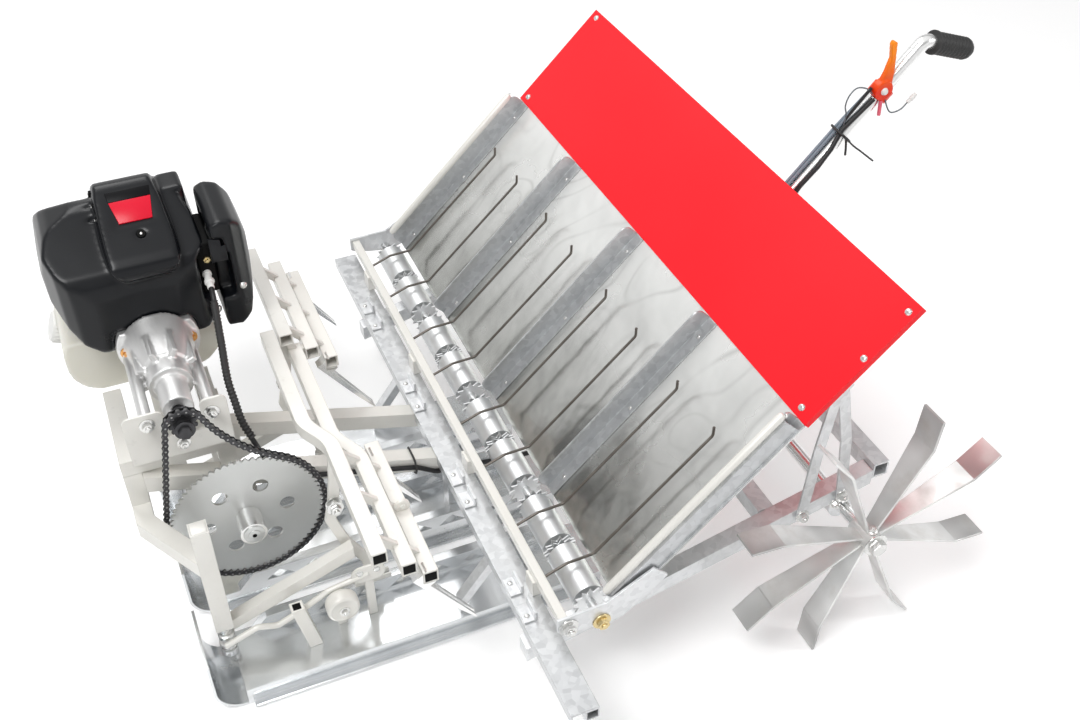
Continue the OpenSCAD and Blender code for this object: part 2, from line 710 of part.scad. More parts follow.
// Clamp round the stem with a pivot disc and a tapered lever that leans towards the grip.
module throttle_lever() {
    at = handle_foot + throttle * stem_dir;
    a = atan2(stem_dir[1], stem_dir[0]);
    color([0.95, 0.4, 0.1]) translate([handle_x, at[0], at[1]]) rotate([a, 0, 0])
        difference() {
            union() {
                rotate([-90, 0, 0]) cylinder(r = stem_r + 4.5, h = 2 * clamp_half, center = true);
                along_x(2, 14) translate(pivot) circle(pivot_r);
                along_x(4, 11) polygon([[-7, 15], [17.8, 23.6], [33.7, 32.3], [44.8, 46.8],
                    [49.5, 47.5], [50.5, 42.5], [37.5, 27.7], [25.4, 14.4], [12, 2]]);
            }
            rotate([-90, 0, 0]) cylinder(r = stem_r + gap, h = 60, center = true);
        }
}

// Point beside the handle stem: x across, s up it from its foot and n off its upper side
function by_stem(x, s, n) = let (p = handle_foot + s * stem_dir + n * side_of(stem_dir))
    [handle_x + x, p[0], p[1]];

// Engine cable from the inlet along the near rail, under the tray and up the stem to the lever,
// and the two leads that run with it from the lever into the rear cross bar.
module throttle_cable() {
    r = 3;
    beside = rail_x[1] + tube_w / 2 + gap + r;
    lie = stem_r + gap + r;
    under = gate[1] - gate_w / 2 - gap - r;
    bar_top = side_z(cross_y) + tube_w / 2;
    front = cross_y - tube_w / 2;
    past = stem_r + 7.2;
    color(black) bent_rod([[-129.7, -304, 364], [-92, -305, 357], [-34, -314, 285],
        [2, -312, 246], [beside, -296, 202], [beside, -278, rail_z(-278)],
        [beside, -125, rail_z(-125)], [beside, gate_front - 3, under - 2], [beside, -60, under - 6],
        [beside, 0, under - 18], [25, 60, under - 21], [22, 120, under - 7],
        [18.6, front - 12, bar_top - 31], [past, front - 7, bar_top - 11],
        [past, front - 2, bar_top + 7], by_stem(past, 0, 0), by_stem(past, 50, 0),
        by_stem(lie + 0.1, 90, 0), by_stem(lie + 0.1, 200, 0), by_stem(lie + 0.1, 235, 3),
        by_stem(13, 270, 9), by_stem(14, 300, 9), by_stem(11, 325, 9), by_stem(5.9, 350, 11.4),
        by_stem(8.8, throttle - 11.5, 8.9)], r, 18);
    color(dull) for (lead = [[-5.6, 2.6, throttle - 9.2, 17.4], [-0.9, 7, throttle - 4.2, 22.3]])
        bent_rod([[handle_x + lead[0], cross_y - 3.5, bar_top + 0.6], by_stem(lead[0], 0, 12.8),
            by_stem(lead[0], 24, 11.6), by_stem(lead[0], 350, 11.6),
            by_stem(lead[1], lead[2], lead[3])], 2, 10);
}

/* Moving pieces */

module crankshaft() {
    x0 = sprocket_x - sprocket_t / 2 - gap;
    color(steel) {
        x_cyl(-95, x0, crank, crank_r);
        x_cyl(rail_x[1] + 14, x0, crank, 17);
        x_cyl(x0, sprocket_x + sprocket_t / 2 + gap, crank, 12);
        x_cyl(sprocket_x + sprocket_t / 2 + gap, 76, crank, 15);
    }
}

// Toothed disc: a point at each root and tip of each tooth.
module toothed(r, teeth) {
    polygon([for (i = [0:teeth - 1]) each [
        polar([0, 0], r - 2.2, (i + 0.05) * 360 / teeth),
        polar([0, 0], r + tooth_h, (i + 0.35) * 360 / teeth),
        polar([0, 0], r + tooth_h, (i + 0.65) * 360 / teeth),
        polar([0, 0], r - 2.2, (i + 0.95) * 360 / teeth)]]);
}

module crank_sprocket() {
    color(dull) along_x(sprocket_x - sprocket_t / 2, sprocket_x + sprocket_t / 2)
        translate(crank) difference() {
            toothed(big_r, big_teeth);
            circle(12.3);
            for (i = [0:5]) rotate(i * 60 + 4) translate([46, 0]) circle(9);
        }
}

module engine_sprocket() {
    color(black) {
        along_x(sprocket_x - 1.5, sprocket_x + 1.5) translate(out) toothed(small_r, small_teeth);
        x_cyl(sprocket_x - 12, sprocket_x + 6, out, small_r - 5);
        x_cyl(-15, sprocket_x + 10, out, out_r);
    }
}

module drive_axle() {
    color(steel) {
        x_cyl(-wheel_x - 20, wheel_x + 20, axle, axle_r);
    }
}

// Hub with flat paddles that widen outwards and end in a bent tip.
module paddle_wheel(s) {
    hub_r = axle_r + 4;
    r = wheel_d / 2;
    color(steel) translate([s * wheel_x, axle[0], axle[1]]) {
        difference() {
            rotate([0, 90, 0]) cylinder(r = hub_r, h = 34, center = true);
            rotate([0, 90, 0]) cylinder(r = axle_r, h = 40, center = true);
        }
        for (i = [0:paddles - 1]) rotate([(i + 0.5) * 360 / paddles, 0, 0]) {
            translate([0, 1.5, 0]) rotate([90, 0, 0]) linear_extrude(3)
                polygon([[-9, hub_r - 1], [9, hub_r - 1], [16, r - tip], [-16, r - tip]]);
            translate([-16, -1.5, r - tip - 0.5]) rotate([tip_bend, 0, 0]) cube([32, 3, tip_len]);
        }
    }
}
module paddle_wheel_left() paddle_wheel(-1);
module paddle_wheel_right() paddle_wheel(1);

/* Tray */

module tray_sheet() {
    color(steel) on_tray() translate([-lanes_w / 2 - side_margin, 0, -tray_t])
        cube([lanes_w + 2 * side_margin, tray_len, tray_t]);
}

// L-shaped dividers: a rounded fin and a foot on the sheet.
module tray_dividers() {
    color(steel) on_tray() for (x = lane_x) translate([x, 0, gap]) {
        along_x(-1, 1) {
            square([tray_len, fin_h - 10]);
            translate([10, 0]) square([tray_len - 20, fin_h]);
            for (v = [10, tray_len - 10]) translate([v, fin_h - 10]) circle(10);
        }
        cube([x > lane_x[rows - 1] + 1 ? side_margin : 16, tray_len, 1.5]);
        if (abs(x) > lanes_w / 2 - 1) {
            out_x = x > 0 ? 0 : -11;
            translate([out_x, 8, fin_h - 1.5]) cube([11, tray_len - 16, 1.5]);
            translate([x > 0 ? 9.5 : -11, 8, 1]) cube([1.5, tray_len - 16, fin_h - 1]);
            translate([out_x, 8, 0]) cube([11, tray_len - 16, 1.5]);
        }
    }
}

// Bars under the sheet and the end plates that carry the feed shaft.
module tray_frame() {
    n = -tray_t - gap - frame_bar;
    half = lanes_w / 2 + side_margin + gap;
    color(steel) {
        on_tray() {
            translate([-half, 14, n]) cube([2 * half, frame_bar, frame_bar]);
            translate([-half + 2.3, slide_v - frame_bar / 2, n])
                cube([2 * half - 4.6, frame_bar, frame_bar]);
            for (s = [-1, 1]) translate([s * frame_rib - frame_bar / 2, 14, n])
                cube([frame_bar, slide_v - 14, frame_bar]);
        }
        for (s = [-1, 1]) along_x(tray_rest + (s > 0 ? half : -half - 3),
            tray_rest + (s > 0 ? half + 3 : -half))
            polygon([[press[0] - 8, press[1] + 8], [press[0] - 8, 148], [-50, 140],
                [-14, 134], [2, 140], tray_point(30, n), tray_point(60, n), tray_point(60, 12),
                [-20, 168]]);
    }
}

// Shaft with two drums to a lane and toothed rings between them.
module feed_rollers() {
    x1 = lanes_w / 2 + side_margin;
    drum = 66;
    color(steel) {
        x_cyl(tray_rest - x1, tray_rest + x1, roller, 5);
        for (x = claw_x, j = [-1, 1]) {
            c = tray_rest + x + j * 40;
            x_cyl(c - drum / 2, c + drum / 2, roller, 18);
            for (k = [-1, 1]) along_x(c + k * 38 - 1, c + k * 38 + 1) translate(roller)
                star(20, 14, 12);
        }
    }
}
module star(r, r0, n) {
    polygon([for (i = [0:n - 1]) each [polar([0, 0], r, i * 360 / n),
        polar([0, 0], r0, (i + 0.5) * 360 / n)]]);
}

// Square bar over the gate rail, on shoes that slide along it.
module press_bar() {
    end = lanes_w / 2 + side_margin;
    top = gate[1] + gate_w / 2 + gate_plate[1];
    color(cream) {
        x_tube(tray_rest - end, tray_rest + end, press, 10);
        for (x = [-300, -100, 100, 300]) translate([tray_rest + x - 10, press[0] - 8, top + 0.5])
            cube([20, 12, press[1] - 5 - top - 0.4]);
    }
}

module press_wires() {
    reach = 195;
    color(dull) for (x = claw_x, j = [-1, 1]) {
        c = tray_rest + x + j * 40;
        pts = [[press[0] + 5.6, press[1]], [-34, 168], tray_point(12, 17),
            tray_point(reach, 14), tray_point(reach + 8, 22)];
        bent_rod([for (p = pts) [c, p[0], p[1]]], 1.6, 6);
    }
}

// Red sheet above the tray, folded down at its edges.
module extension_panel() {
    hw = lanes_w / 2 + side_margin;
    color(red) on_tray() translate([0, tray_len + gap, 0]) difference() {
        translate([-hw, 0, -panel_lip]) cube([2 * hw, panel_len, panel_lip + 1.5]);
        translate([-hw + 1.5, 1.5, -panel_lip - 1])
            cube([2 * hw - 3, panel_len - 3, panel_lip + 1]);
        for (s = [-1, 1]) translate([s * frame_rib - frame_bar / 2 - 0.6, -1, -panel_lip - 1])
            cube([frame_bar + 1.2, 4, panel_lip + 1]);
    }
}

/* Planting frame */

// Offset of the near gang's tubes at x, an S-bend between its two straight parts.
function gang_off(x) = let (t = (gang_x[3] - x) / (gang_x[3] - gang_x[2]))
    gang_bend * (t <= 0 ? 0 : t >= 1 ? 1 : (1 - cos(180 * t)) / 2);

module open_end(x, p) {
    x_tube(x - 40, x + 1, p, plant_w - 2 * tube_t);
}

// A tube of the right gang, bent sideways between two straight parts.
module bent_tube(p, w) {
    xs = [gang_x[0], for (i = [0:8]) gang_x[2] + i * (gang_x[3] - gang_x[2]) / 8, gang_x[4]];
    n = len(xs);
    translate([0, p[0], p[1] - w / 2]) linear_extrude(w) polygon([
        for (i = [0:n - 1]) [xs[i], gang_off(xs[i]) - w / 2],
        for (i = [n - 1:-1:0]) [xs[i], gang_off(xs[i]) + w / 2]]);
}

// Two gangs of square tube: a straight left one, and a right one bent to pass in front of it.
module planting_tubes() {
    color(cream) difference() {
        union() {
            for (p = [tube_a, tube_b]) {
                bent_tube(p, plant_w);
                x_tube(-gang_x[4], gang_x[1], p, plant_w);
            }
            x_tube(75, gang_x[4], tube_c, plant_w);
            x_tube(-gang_x[4], gang_x[1], tube_c, plant_w);
            for (s = [-1, 1], x = [116, 180, 246]) along_x(s * x - 3, s * x + 3)
                for (e = [[tube_a, tube_b], [tube_b, tube_c]]) strip(e, 9);
            along_x(-102, -94) strip([tube_a, tube_b + [gang_bend, 0], tube_b], 9);
        }
        for (p = [tube_a, tube_b, tube_c]) {
            open_end(gang_x[4], p);
            open_end(-gang_x[4] + 39, p);
            open_end(gang_x[1], p);
        }
    }
}

// Forked claws on saddles under the third tube.
module planting_claws() {
    u = [cos(claw_angle), sin(claw_angle)];
    n = [sin(claw_angle), -cos(claw_angle)];
    off = 14;
    back = 10;
    reach = claw_len - 22;
    color(steel) for (x = claw_x) {
        base = tube_c + off * n;
        difference() {
            along_x(x - 6, x + 6) translate(base) rotate(claw_angle)
                polygon([[-back, -2], [reach - 30, -2], [reach, 0], [reach - 4, 2], [20, 4.5],
                    [-back, 4.5]]);
            along_x(x - 2, x + 2) translate(base) rotate(claw_angle)
                translate([24, -5]) square([reach, 12]);
            x_tube(x - 7, x + 7, tube_c, plant_w + 2 * gap);
            for (s = [-1, 1]) translate([x + s * 9.5, base[0], base[1]])
                rotate([claw_angle, 0, 0]) translate([-4, reach - 40, -10]) cube([4, 60, 20]);
        }
        along_x(x - 7, x + 7) difference() {
            translate(base) rotate(claw_angle) translate([-10, 4.5 + 0]) square([20, 12]);
            translate(tube_c) square(plant_w + 2 * gap, center = true);
        }
    }
}

rocker_path = [rocker, [-216, 86], [-236, 123], [-249, 165], [-243, 190], [-238, 224],
    [-235, 262]];

module rocker_arms() {
    x = float_pitch - float_w / 2 + 3.4;
    color(cream) for (s = [-1, 1]) difference() {
        along_x(s > 0 ? x : -x - 5, s > 0 ? x + 5 : -x) {
            strip(rocker_path, 12);
            translate(rocker) circle(8);
        }
        x_cyl(s * x - 20, s * x + 20, rocker, rocker_r + run_gap);
        if (s > 0) bent_tube(tube_a, plant_w + 2 * gap);
        else x_tube(-x - 20, -x + 20, tube_a, plant_w + 2 * gap);
    }
}

// Which node is drawn
front_frame();
engine_bed();
main_rails();
crank_bearings();
float_struts();
gate_rail();
seedling_gates();
float_left();
float_centre();
float_right();
float_lever();
rocker_brackets();
engine_mount();
engine_block();
engine_shroud();
air_cleaner();
fuel_tank();
recoil_starter();
first_chain();
side_bar_left();
side_bar_right();
rear_cross_bars();
axle_bearings();
tray_straps();
tray_slide_bar();
handle_stem();
handle_grip();
throttle_lever();
throttle_cable();
crankshaft();
crank_sprocket();
engine_sprocket();
drive_axle();
paddle_wheel_left();
paddle_wheel_right();
tray_sheet();
tray_dividers();
tray_frame();
feed_rollers();
press_bar();
press_wires();
extension_panel();
planting_tubes();
planting_claws();
rocker_arms();
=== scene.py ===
"""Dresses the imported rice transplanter: finishes, fasteners, cables, light and camera."""

import json
import math

import bmesh
import bpy
from mathutils import Matrix, Vector


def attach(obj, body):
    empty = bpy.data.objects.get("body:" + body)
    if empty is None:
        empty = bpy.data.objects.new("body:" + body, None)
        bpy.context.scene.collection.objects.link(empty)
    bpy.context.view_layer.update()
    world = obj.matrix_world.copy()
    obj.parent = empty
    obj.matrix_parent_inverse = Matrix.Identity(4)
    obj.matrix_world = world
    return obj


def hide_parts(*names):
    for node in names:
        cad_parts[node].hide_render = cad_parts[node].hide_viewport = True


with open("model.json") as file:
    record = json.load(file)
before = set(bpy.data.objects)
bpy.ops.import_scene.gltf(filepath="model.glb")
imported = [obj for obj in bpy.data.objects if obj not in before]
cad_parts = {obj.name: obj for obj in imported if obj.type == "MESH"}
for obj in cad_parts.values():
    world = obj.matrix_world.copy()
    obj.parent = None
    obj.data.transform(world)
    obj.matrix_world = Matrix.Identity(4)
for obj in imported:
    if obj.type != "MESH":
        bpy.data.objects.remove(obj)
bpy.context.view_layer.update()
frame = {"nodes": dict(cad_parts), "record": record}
MM = 0.001


# Shader maths

class Value:
    """A shader value that can stand in a Python expression."""

    def __init__(self, finish, socket):
        self.finish = finish
        self.socket = socket

    def maths(self, operation, *values):
        return self.finish.node("Math", {"operation": operation}, *values)

    def __add__(self, other):
        return self.maths("ADD", self, other)

    def __mul__(self, other):
        return self.maths("MULTIPLY", self, other)

    def __sub__(self, other):
        return self.maths("SUBTRACT", self, other)

    def __rsub__(self, other):
        return self.maths("SUBTRACT", other, self)

    __radd__ = __add__
    __rmul__ = __mul__


class Finish:
    """A material whose Principled shader is fed by expressions."""

    def __init__(self, name, **sockets):
        self.material = bpy.data.materials.new(name)
        self.material.use_nodes = True
        self.nodes = self.material.node_tree.nodes
        self.links = self.material.node_tree.links
        self.shader = self.nodes["Principled BSDF"]
        for socket, value in sockets.items():
            self.feed(socket.replace("_", " "), value)

    def feed(self, socket, value, node=None):
        target = (node or self.shader).inputs[socket]
        if isinstance(value, Value):
            self.links.new(value.socket, target)
        elif isinstance(value, (tuple, list)) and len(target.default_value) == 4:
            target.default_value = (*value[:3], 1)
        else:
            target.default_value = value

    def node(self, kind, settings, *values, out=0, **sockets):
        made = self.nodes.new("ShaderNode" + kind)
        for key, value in settings.items():
            setattr(made, key, value)
        for i, value in enumerate(values):
            self.feed(i, value, made)
        for key, value in sockets.items():
            self.feed(key.replace("_", " "), value, made)
        return Value(self, made.outputs[out])

    def place(self, stretch=(1, 1, 1)):
        """Object coordinates in metres, stretched."""
        where = self.node("TexCoord", {}, out="Object")
        return self.node("Mapping", {}, Vector=where, Scale=stretch)

    def along(self, axis):
        """Place along X, Y or Z in metres, which along Z is the height above the ground."""
        return self.node("SeparateXYZ", {}, self.place(), out=axis)

    def noise(self, scale, detail, rough=0.5, stretch=(1, 1, 1)):
        where = self.place(stretch)
        return self.node("TexNoise", {}, Vector=where, Scale=scale, Detail=detail,
                         Roughness=rough)

    def cells(self, scale):
        """A flat random value in each cell of a crystal pattern."""
        colour = self.node("TexVoronoi", {}, Vector=self.place(), Scale=scale, out="Color")
        return self.node("SeparateColor", {}, colour)

    def ramp(self, value, low, high):
        """0 below low and 1 above high, straight between."""
        return self.node("MapRange", {"clamp": True}, value, low, high, 0.0, 1.0)

    def mix(self, factor, a, b):
        made = self.nodes.new("ShaderNodeMix")
        made.data_type = "RGBA"
        # By number, because each kind of mix on this node has sockets of the same names
        for i, value in ((0, factor), (6, a), (7, b)):
            self.feed(i, value, made)
        return Value(self, made.outputs[2])

    def bump(self, height, strength, distance, edge=0.0):
        """Relief on the surface, with the edges of the steel rounded to the radius edge."""
        relief = {"Strength": strength, "Distance": distance, "Height": height}
        if edge:
            relief["Normal"] = self.node("Bevel", {"samples": 4}, Radius=edge)
        self.feed("Normal", self.node("Bump", {}, **relief))


def galvanised(name, low, high):
    f = Finish(name, Metallic=0.72)
    cells = f.cells(150)
    cloud = f.noise(9, 4)
    dirt = f.ramp(f.noise(34, 6, 0.65), 0.56, 0.78)
    metal = f.mix(cells * 0.45 + cloud * 0.5, low, high)
    f.feed("Base Color", f.mix(dirt * 0.5, metal, (0.50, 0.50, 0.49)))
    f.feed("Roughness", 0.30 + 0.10 * cells + 0.16 * dirt)
    f.bump(cells * 0.4 + f.noise(60, 5), 0.12, 0.0006, 0.0012)
    return f.material


def cream_steel():
    f = Finish("cream_steel", Metallic=0.12, Coat_Weight=0.15, Coat_Roughness=0.2)
    cloud = f.noise(14, 4)
    scuff = f.ramp(f.noise(60, 8, 0.7), 0.60, 0.74)
    paint = f.mix(cloud, (0.735, 0.72, 0.67), (0.86, 0.85, 0.81))
    f.feed("Base Color", f.mix(scuff * 0.5, paint, (0.62, 0.61, 0.57)))
    f.feed("Roughness", 0.34 + 0.16 * scuff + 0.08 * cloud)
    f.bump(f.noise(220, 3), 0.10, 0.0003, 0.0015)
    return f.material


def wheel_steel():
    f = Finish("wheel_steel", Metallic=0.66)
    wave = f.noise(11, 2, 0.4)
    mud = f.ramp(f.noise(26, 6, 0.6), 0.52, 0.78)
    # Painted reflection: broad blotches of dark and bright in the base colour stand in for what
    # the paddles mirror
    painted_sheen = f.ramp(f.noise(10, 2), 0.36, 0.64)
    metal = f.mix(painted_sheen, (0.40, 0.40, 0.395), (0.86, 0.86, 0.85))
    f.feed("Base Color", f.mix(mud * 0.35, metal, (0.42, 0.38, 0.32)))
    f.feed("Roughness", 0.31 + 0.16 * mud)
    f.bump(wave, 0.45, 0.008, 0.0014)
    return f.material


def polished_sheet():
    """The tray's sheet, with painted light in its colour: a dark base colour low down that stands
    in for a dark mirror, and higher up a bright, less metallic colour with painted grey reflection
    streaks.
    """
    f = Finish("polished_sheet")
    wave = f.noise(7, 2, 0.4, stretch=(0.7, 1, 1))
    ripple = f.noise(22, 2, 0.5)
    haze = f.ramp(f.noise(11, 4, 0.55), 0.30, 0.72)
    # Painted light: higher than about 0.2 to 0.4 m the sheet is painted bright and made less
    # metallic, standing in for the light it throws back there
    high = f.ramp(f.along("Z") + 0.10 * wave, 0.20, 0.40)
    # Painted reflection: the dark colour low down stands in for the dark reflections in the sheet
    # there
    low = f.mix(haze, (0.34, 0.345, 0.325), (0.58, 0.585, 0.56))
    swirl = f.noise(8, 1, 0.4, stretch=(1, 0.7, 1)) * 9
    # Painted reflections: grey streaks in the bright upper colour
    painted_streak = f.ramp(swirl.maths("PINGPONG", swirl, 0.5), 0.36, 0.50) * high * haze
    upper = f.mix(painted_streak * 0.75, (0.96, 0.965, 0.95), (0.46, 0.465, 0.45))
    f.feed("Base Color", f.mix(high, low, upper))
    f.feed("Metallic", 1 - 0.56 * high)
    f.feed("Roughness", 0.19 + 0.12 * haze)
    f.bump(wave + ripple * 0.20, 0.60, 0.014)
    return f.material


def float_sheet():
    f = Finish("float_sheet", Metallic=0.92)
    wave = f.noise(6, 2, 0.4, stretch=(1, 0.5, 1))
    cloud = f.noise(15, 4)
    smear = f.ramp(f.noise(30, 5, 0.6, stretch=(1, 0.3, 1)), 0.55, 0.75)
    sheet = f.mix(cloud, (0.66, 0.68, 0.70), (0.90, 0.915, 0.92))
    f.feed("Base Color", f.mix(smear * 0.4, sheet, (0.52, 0.52, 0.51)))
    f.feed("Roughness", 0.17 + 0.14 * smear + 0.06 * cloud)
    f.bump(wave, 0.35, 0.006, 0.0014)
    return f.material


def bright_steel():
    f = Finish("bright_steel", Metallic=1.0)
    cloud = f.noise(22, 5)
    f.feed("Base Color", f.mix(cloud, (0.80, 0.80, 0.80), (0.94, 0.94, 0.93)))
    f.feed("Roughness", 0.16 + 0.16 * cloud)
    f.bump(f.noise(500, 2, stretch=(1, 0.1, 1)), 0.05, 0.0002)
    return f.material


def plated_disc():
    f = Finish("plated_disc", Metallic=0.9)
    grind = f.noise(260, 4, stretch=(1, 0.12, 1))
    cloud = f.noise(10, 4)
    f.feed("Base Color", f.mix(cloud, (0.52, 0.53, 0.52), (0.68, 0.69, 0.68)))
    f.feed("Roughness", 0.30 + 0.14 * cloud + 0.06 * grind)
    f.bump(grind, 0.08, 0.0003)
    return f.material


def black_steel():
    f = Finish("black_steel", Metallic=0.75)
    oil = f.noise(70, 4)
    f.feed("Base Color", f.mix(oil, (0.028, 0.028, 0.03), (0.09, 0.09, 0.095)))
    f.feed("Roughness", 0.26 + 0.22 * oil)
    f.bump(f.noise(300, 3), 0.10, 0.0003)
    return f.material


def moulded(name, low, high, roughness, grain=900, depth=0.06, shine=0.5):
    """Moulded plastic: a slight cloud in the colour and a fine grain."""
    f = Finish(name, Specular_IOR_Level=shine)
    cloud = f.noise(18, 4)
    f.feed("Base Color", f.mix(cloud, low, high))
    f.feed("Roughness", roughness + 0.10 * cloud)
    f.bump(f.noise(grain, 2), depth, 0.0003)
    return f.material


def lever_plastic():
    """Orange plastic, redder at the pivot and yellower at the tip."""
    f = Finish("orange_plastic", Specular_IOR_Level=0.3)
    tip = f.ramp(f.along("Z"), 0.492, 0.538)
    f.feed("Base Color", f.mix(tip, (0.80, 0.030, 0.003), (1.0, 0.27, 0.006)))
    f.feed("Roughness", 0.26 + 0.10 * f.noise(30, 3))
    f.bump(f.noise(900, 2), 0.05, 0.0003)
    return f.material


def cable_rubber():
    """Black cable, and the two grey leads that run left of it up the stem."""
    f = Finish("cable_rubber", Specular_IOR_Level=0.4)
    lead = (1 - f.ramp(f.along("X"), 0.0016, 0.0020)) * f.ramp(f.along("Y"), 0.186, 0.188)
    cloud = f.noise(40, 3)
    black = f.mix(cloud, (0.008, 0.008, 0.009), (0.020, 0.020, 0.021))
    f.feed("Base Color", f.mix(lead, black, (0.22, 0.27, 0.32)))
    f.feed("Roughness", 0.36 + 0.12 * cloud)
    f.bump(f.noise(700, 2), 0.08, 0.0003)
    return f.material


def tank_plastic():
    f = Finish("tank_plastic", Subsurface_Weight=0.35, Subsurface_Scale=0.02,
               Subsurface_Radius=(1.0, 0.95, 0.8))
    cloud = f.noise(9, 3)
    f.feed("Base Color", f.mix(cloud, (0.66, 0.64, 0.55), (0.82, 0.81, 0.75)))
    f.feed("Roughness", 0.34 + 0.08 * cloud)
    f.bump(f.noise(40, 2), 0.05, 0.002)
    return f.material


def cast_alloy():
    f = Finish("cast_alloy", Metallic=0.85)
    skin = f.noise(420, 5, 0.6)
    cloud = f.noise(18, 4)
    f.feed("Base Color", f.mix(cloud, (0.62, 0.62, 0.62), (0.82, 0.82, 0.81)))
    f.feed("Roughness", 0.36 + 0.16 * skin)
    f.bump(skin, 0.22, 0.0006)
    return f.material


def red_paint():
    f = Finish("red_paint", Specular_IOR_Level=0.2)
    peel = f.noise(120, 2)
    cloud = f.noise(4, 3)
    f.feed("Base Color", f.mix(cloud, (0.93, 0.010, 0.020), (0.98, 0.020, 0.030)))
    f.feed("Roughness", 0.34 + 0.06 * cloud)
    f.bump(peel, 0.05, 0.0006)
    return f.material


def plain_metal(name, low, high, roughness, metallic=1.0, scale=60):
    """Small plated piece: a slight cloud in its colour and its shine."""
    f = Finish(name, Metallic=metallic)
    cloud = f.noise(scale, 4)
    f.feed("Base Color", f.mix(cloud, low, high))
    f.feed("Roughness", roughness + 0.14 * cloud)
    f.bump(f.noise(400, 3), 0.08, 0.0002)
    return f.material


FINISHES = {
    "galvanised": galvanised("galvanised", (0.60, 0.61, 0.62), (0.86, 0.87, 0.88)),
    # Painted shade: a darker copy of the galvanised finish for the tray's dividers, which are the
    # same galvanised steel
    "divider_steel_painted_shade": galvanised("divider_steel_painted_shade", (0.43, 0.44, 0.45), (0.66, 0.675, 0.685)),
    # Painted shade: a darker copy of the galvanised finish for the gate rail, which is the same
    # galvanised steel
    "rail_steel_painted_shade": galvanised("rail_steel_painted_shade", (0.50, 0.51, 0.52), (0.76, 0.77, 0.78)),
    "cream_steel": cream_steel(),
    "wheel_steel": wheel_steel(),
    "polished_sheet": polished_sheet(),
    "float_sheet": float_sheet(),
    "roller_steel": plain_metal("roller_steel", (0.70, 0.71, 0.72), (0.84, 0.85, 0.85), 0.36,
                                0.9, 14),
    "bright_steel": bright_steel(),
    "plated_disc": plated_disc(),
    "black_steel": black_steel(),
    "black_plastic": moulded("black_plastic", (0.003, 0.0035, 0.005), (0.007, 0.008, 0.010), 0.24,
                             shine=0.30),
    "tank_plastic": tank_plastic(),
    "cast_alloy": cast_alloy(),
    "red_paint": red_paint(),
    "orange_plastic": lever_plastic(),
    "cable_rubber": cable_rubber(),
    "dark_wire": plain_metal("dark_wire", (0.085, 0.075, 0.065), (0.20, 0.18, 0.16), 0.34, 0.7),
    "zinc": plain_metal("zinc", (0.62, 0.62, 0.61), (0.82, 0.82, 0.80), 0.20),
    "yellow_zinc": plain_metal("yellow_zinc", (0.52, 0.40, 0.18), (0.80, 0.66, 0.38), 0.24),
    "copper_zinc": plain_metal("copper_zinc", (0.66, 0.30, 0.08), (0.90, 0.50, 0.20), 0.24),
    "link_steel": plain_metal("link_steel", (0.22, 0.22, 0.22), (0.48, 0.48, 0.48), 0.24),
    # Painted shade: a near-black finish put in holes, vents, open tube ends and the gap by the
    # carburettor, where there is only shade
    "painted_shade_black": moulded("painted_shade_black", (0.003, 0.003, 0.003), (0.007, 0.007, 0.007), 0.6, shine=0.1),
    "badge_red": moulded("badge_red", (0.66, 0.003, 0.02), (0.74, 0.006, 0.035), 0.24, 200,
                         0.02, 0.3),
    "badge_black": moulded("badge_black", (0.002, 0.002, 0.003), (0.004, 0.004, 0.005), 0.34,
                           200, 0.02, 0.12),
    "white_plastic": moulded("white_plastic", (0.74, 0.74, 0.72), (0.84, 0.84, 0.82), 0.34),
    "grey_cable": moulded("grey_cable", (0.10, 0.115, 0.13), (0.16, 0.18, 0.20), 0.36, 600),
    "pink_sleeve": moulded("pink_sleeve", (0.70, 0.10, 0.16), (0.80, 0.16, 0.22), 0.40),
    "black_rubber": moulded("black_rubber", (0.012, 0.012, 0.012), (0.028, 0.028, 0.028),
                            0.50, 1400, 0.15),
}


# Nodes whose finish isn't named after their slot
OWN_FINISH = {"float_left": "float_sheet", "float_centre": "float_sheet",
              "float_right": "float_sheet", "paddle_wheel_left": "wheel_steel",
              "paddle_wheel_right": "wheel_steel", "feed_rollers": "roller_steel",
              # The gate rail and the tray's dividers take darker copies of the galvanised finish:
              # painted shade
              "gate_rail": "rail_steel_painted_shade", "tray_dividers": "divider_steel_painted_shade",
              "throttle_cable": "cable_rubber"}


def dress(obj, finish):
    obj.data.materials.clear()
    obj.data.materials.append(FINISHES[finish])


def dress_frame():
    for part in frame["record"]["subparts"]:
        node = part["node"]
        dress(frame["nodes"][node], OWN_FINISH.get(node, part["material_slot"]))


# Room

FLOOR_HALF = 30.0
FLOOR_Z = -0.0006       # just under what stands on it
FLOOR_GLOW = 0.22
CAMERA_AT = Vector((1.0556, -0.3947, 1.1758))
CAMERA_AZIMUTH = 67.14
CAMERA_ELEVATION = 40.0
CAMERA_ROLL = -0.4
LENS = 40.83
SENSOR = 36.0
NEAREST = 0.02
# Name, place, aim, size and watts
LAMPS = (("key_lamp", (1.2, -1.5, 3.3), (0, 0, 0.2), 1.6, 68),
         ("fill_lamp", (-2.2, -0.5, 3.1), (0, 0, 0.2), 2.0, 42),
         ("rim_lamp", (1.1, 1.7, 1.5), (-0.1, -0.3, 0.35), 0.4, 9))
WORLD_LIGHT = 0.44
# Height and grey: white at the floor and overhead, with a darker band between
WALLS = ((0.0, 1.0), (0.10, 0.98), (0.32, 0.86), (0.50, 0.42), (0.64, 0.34), (0.80, 0.86),
         (1.0, 1.0))


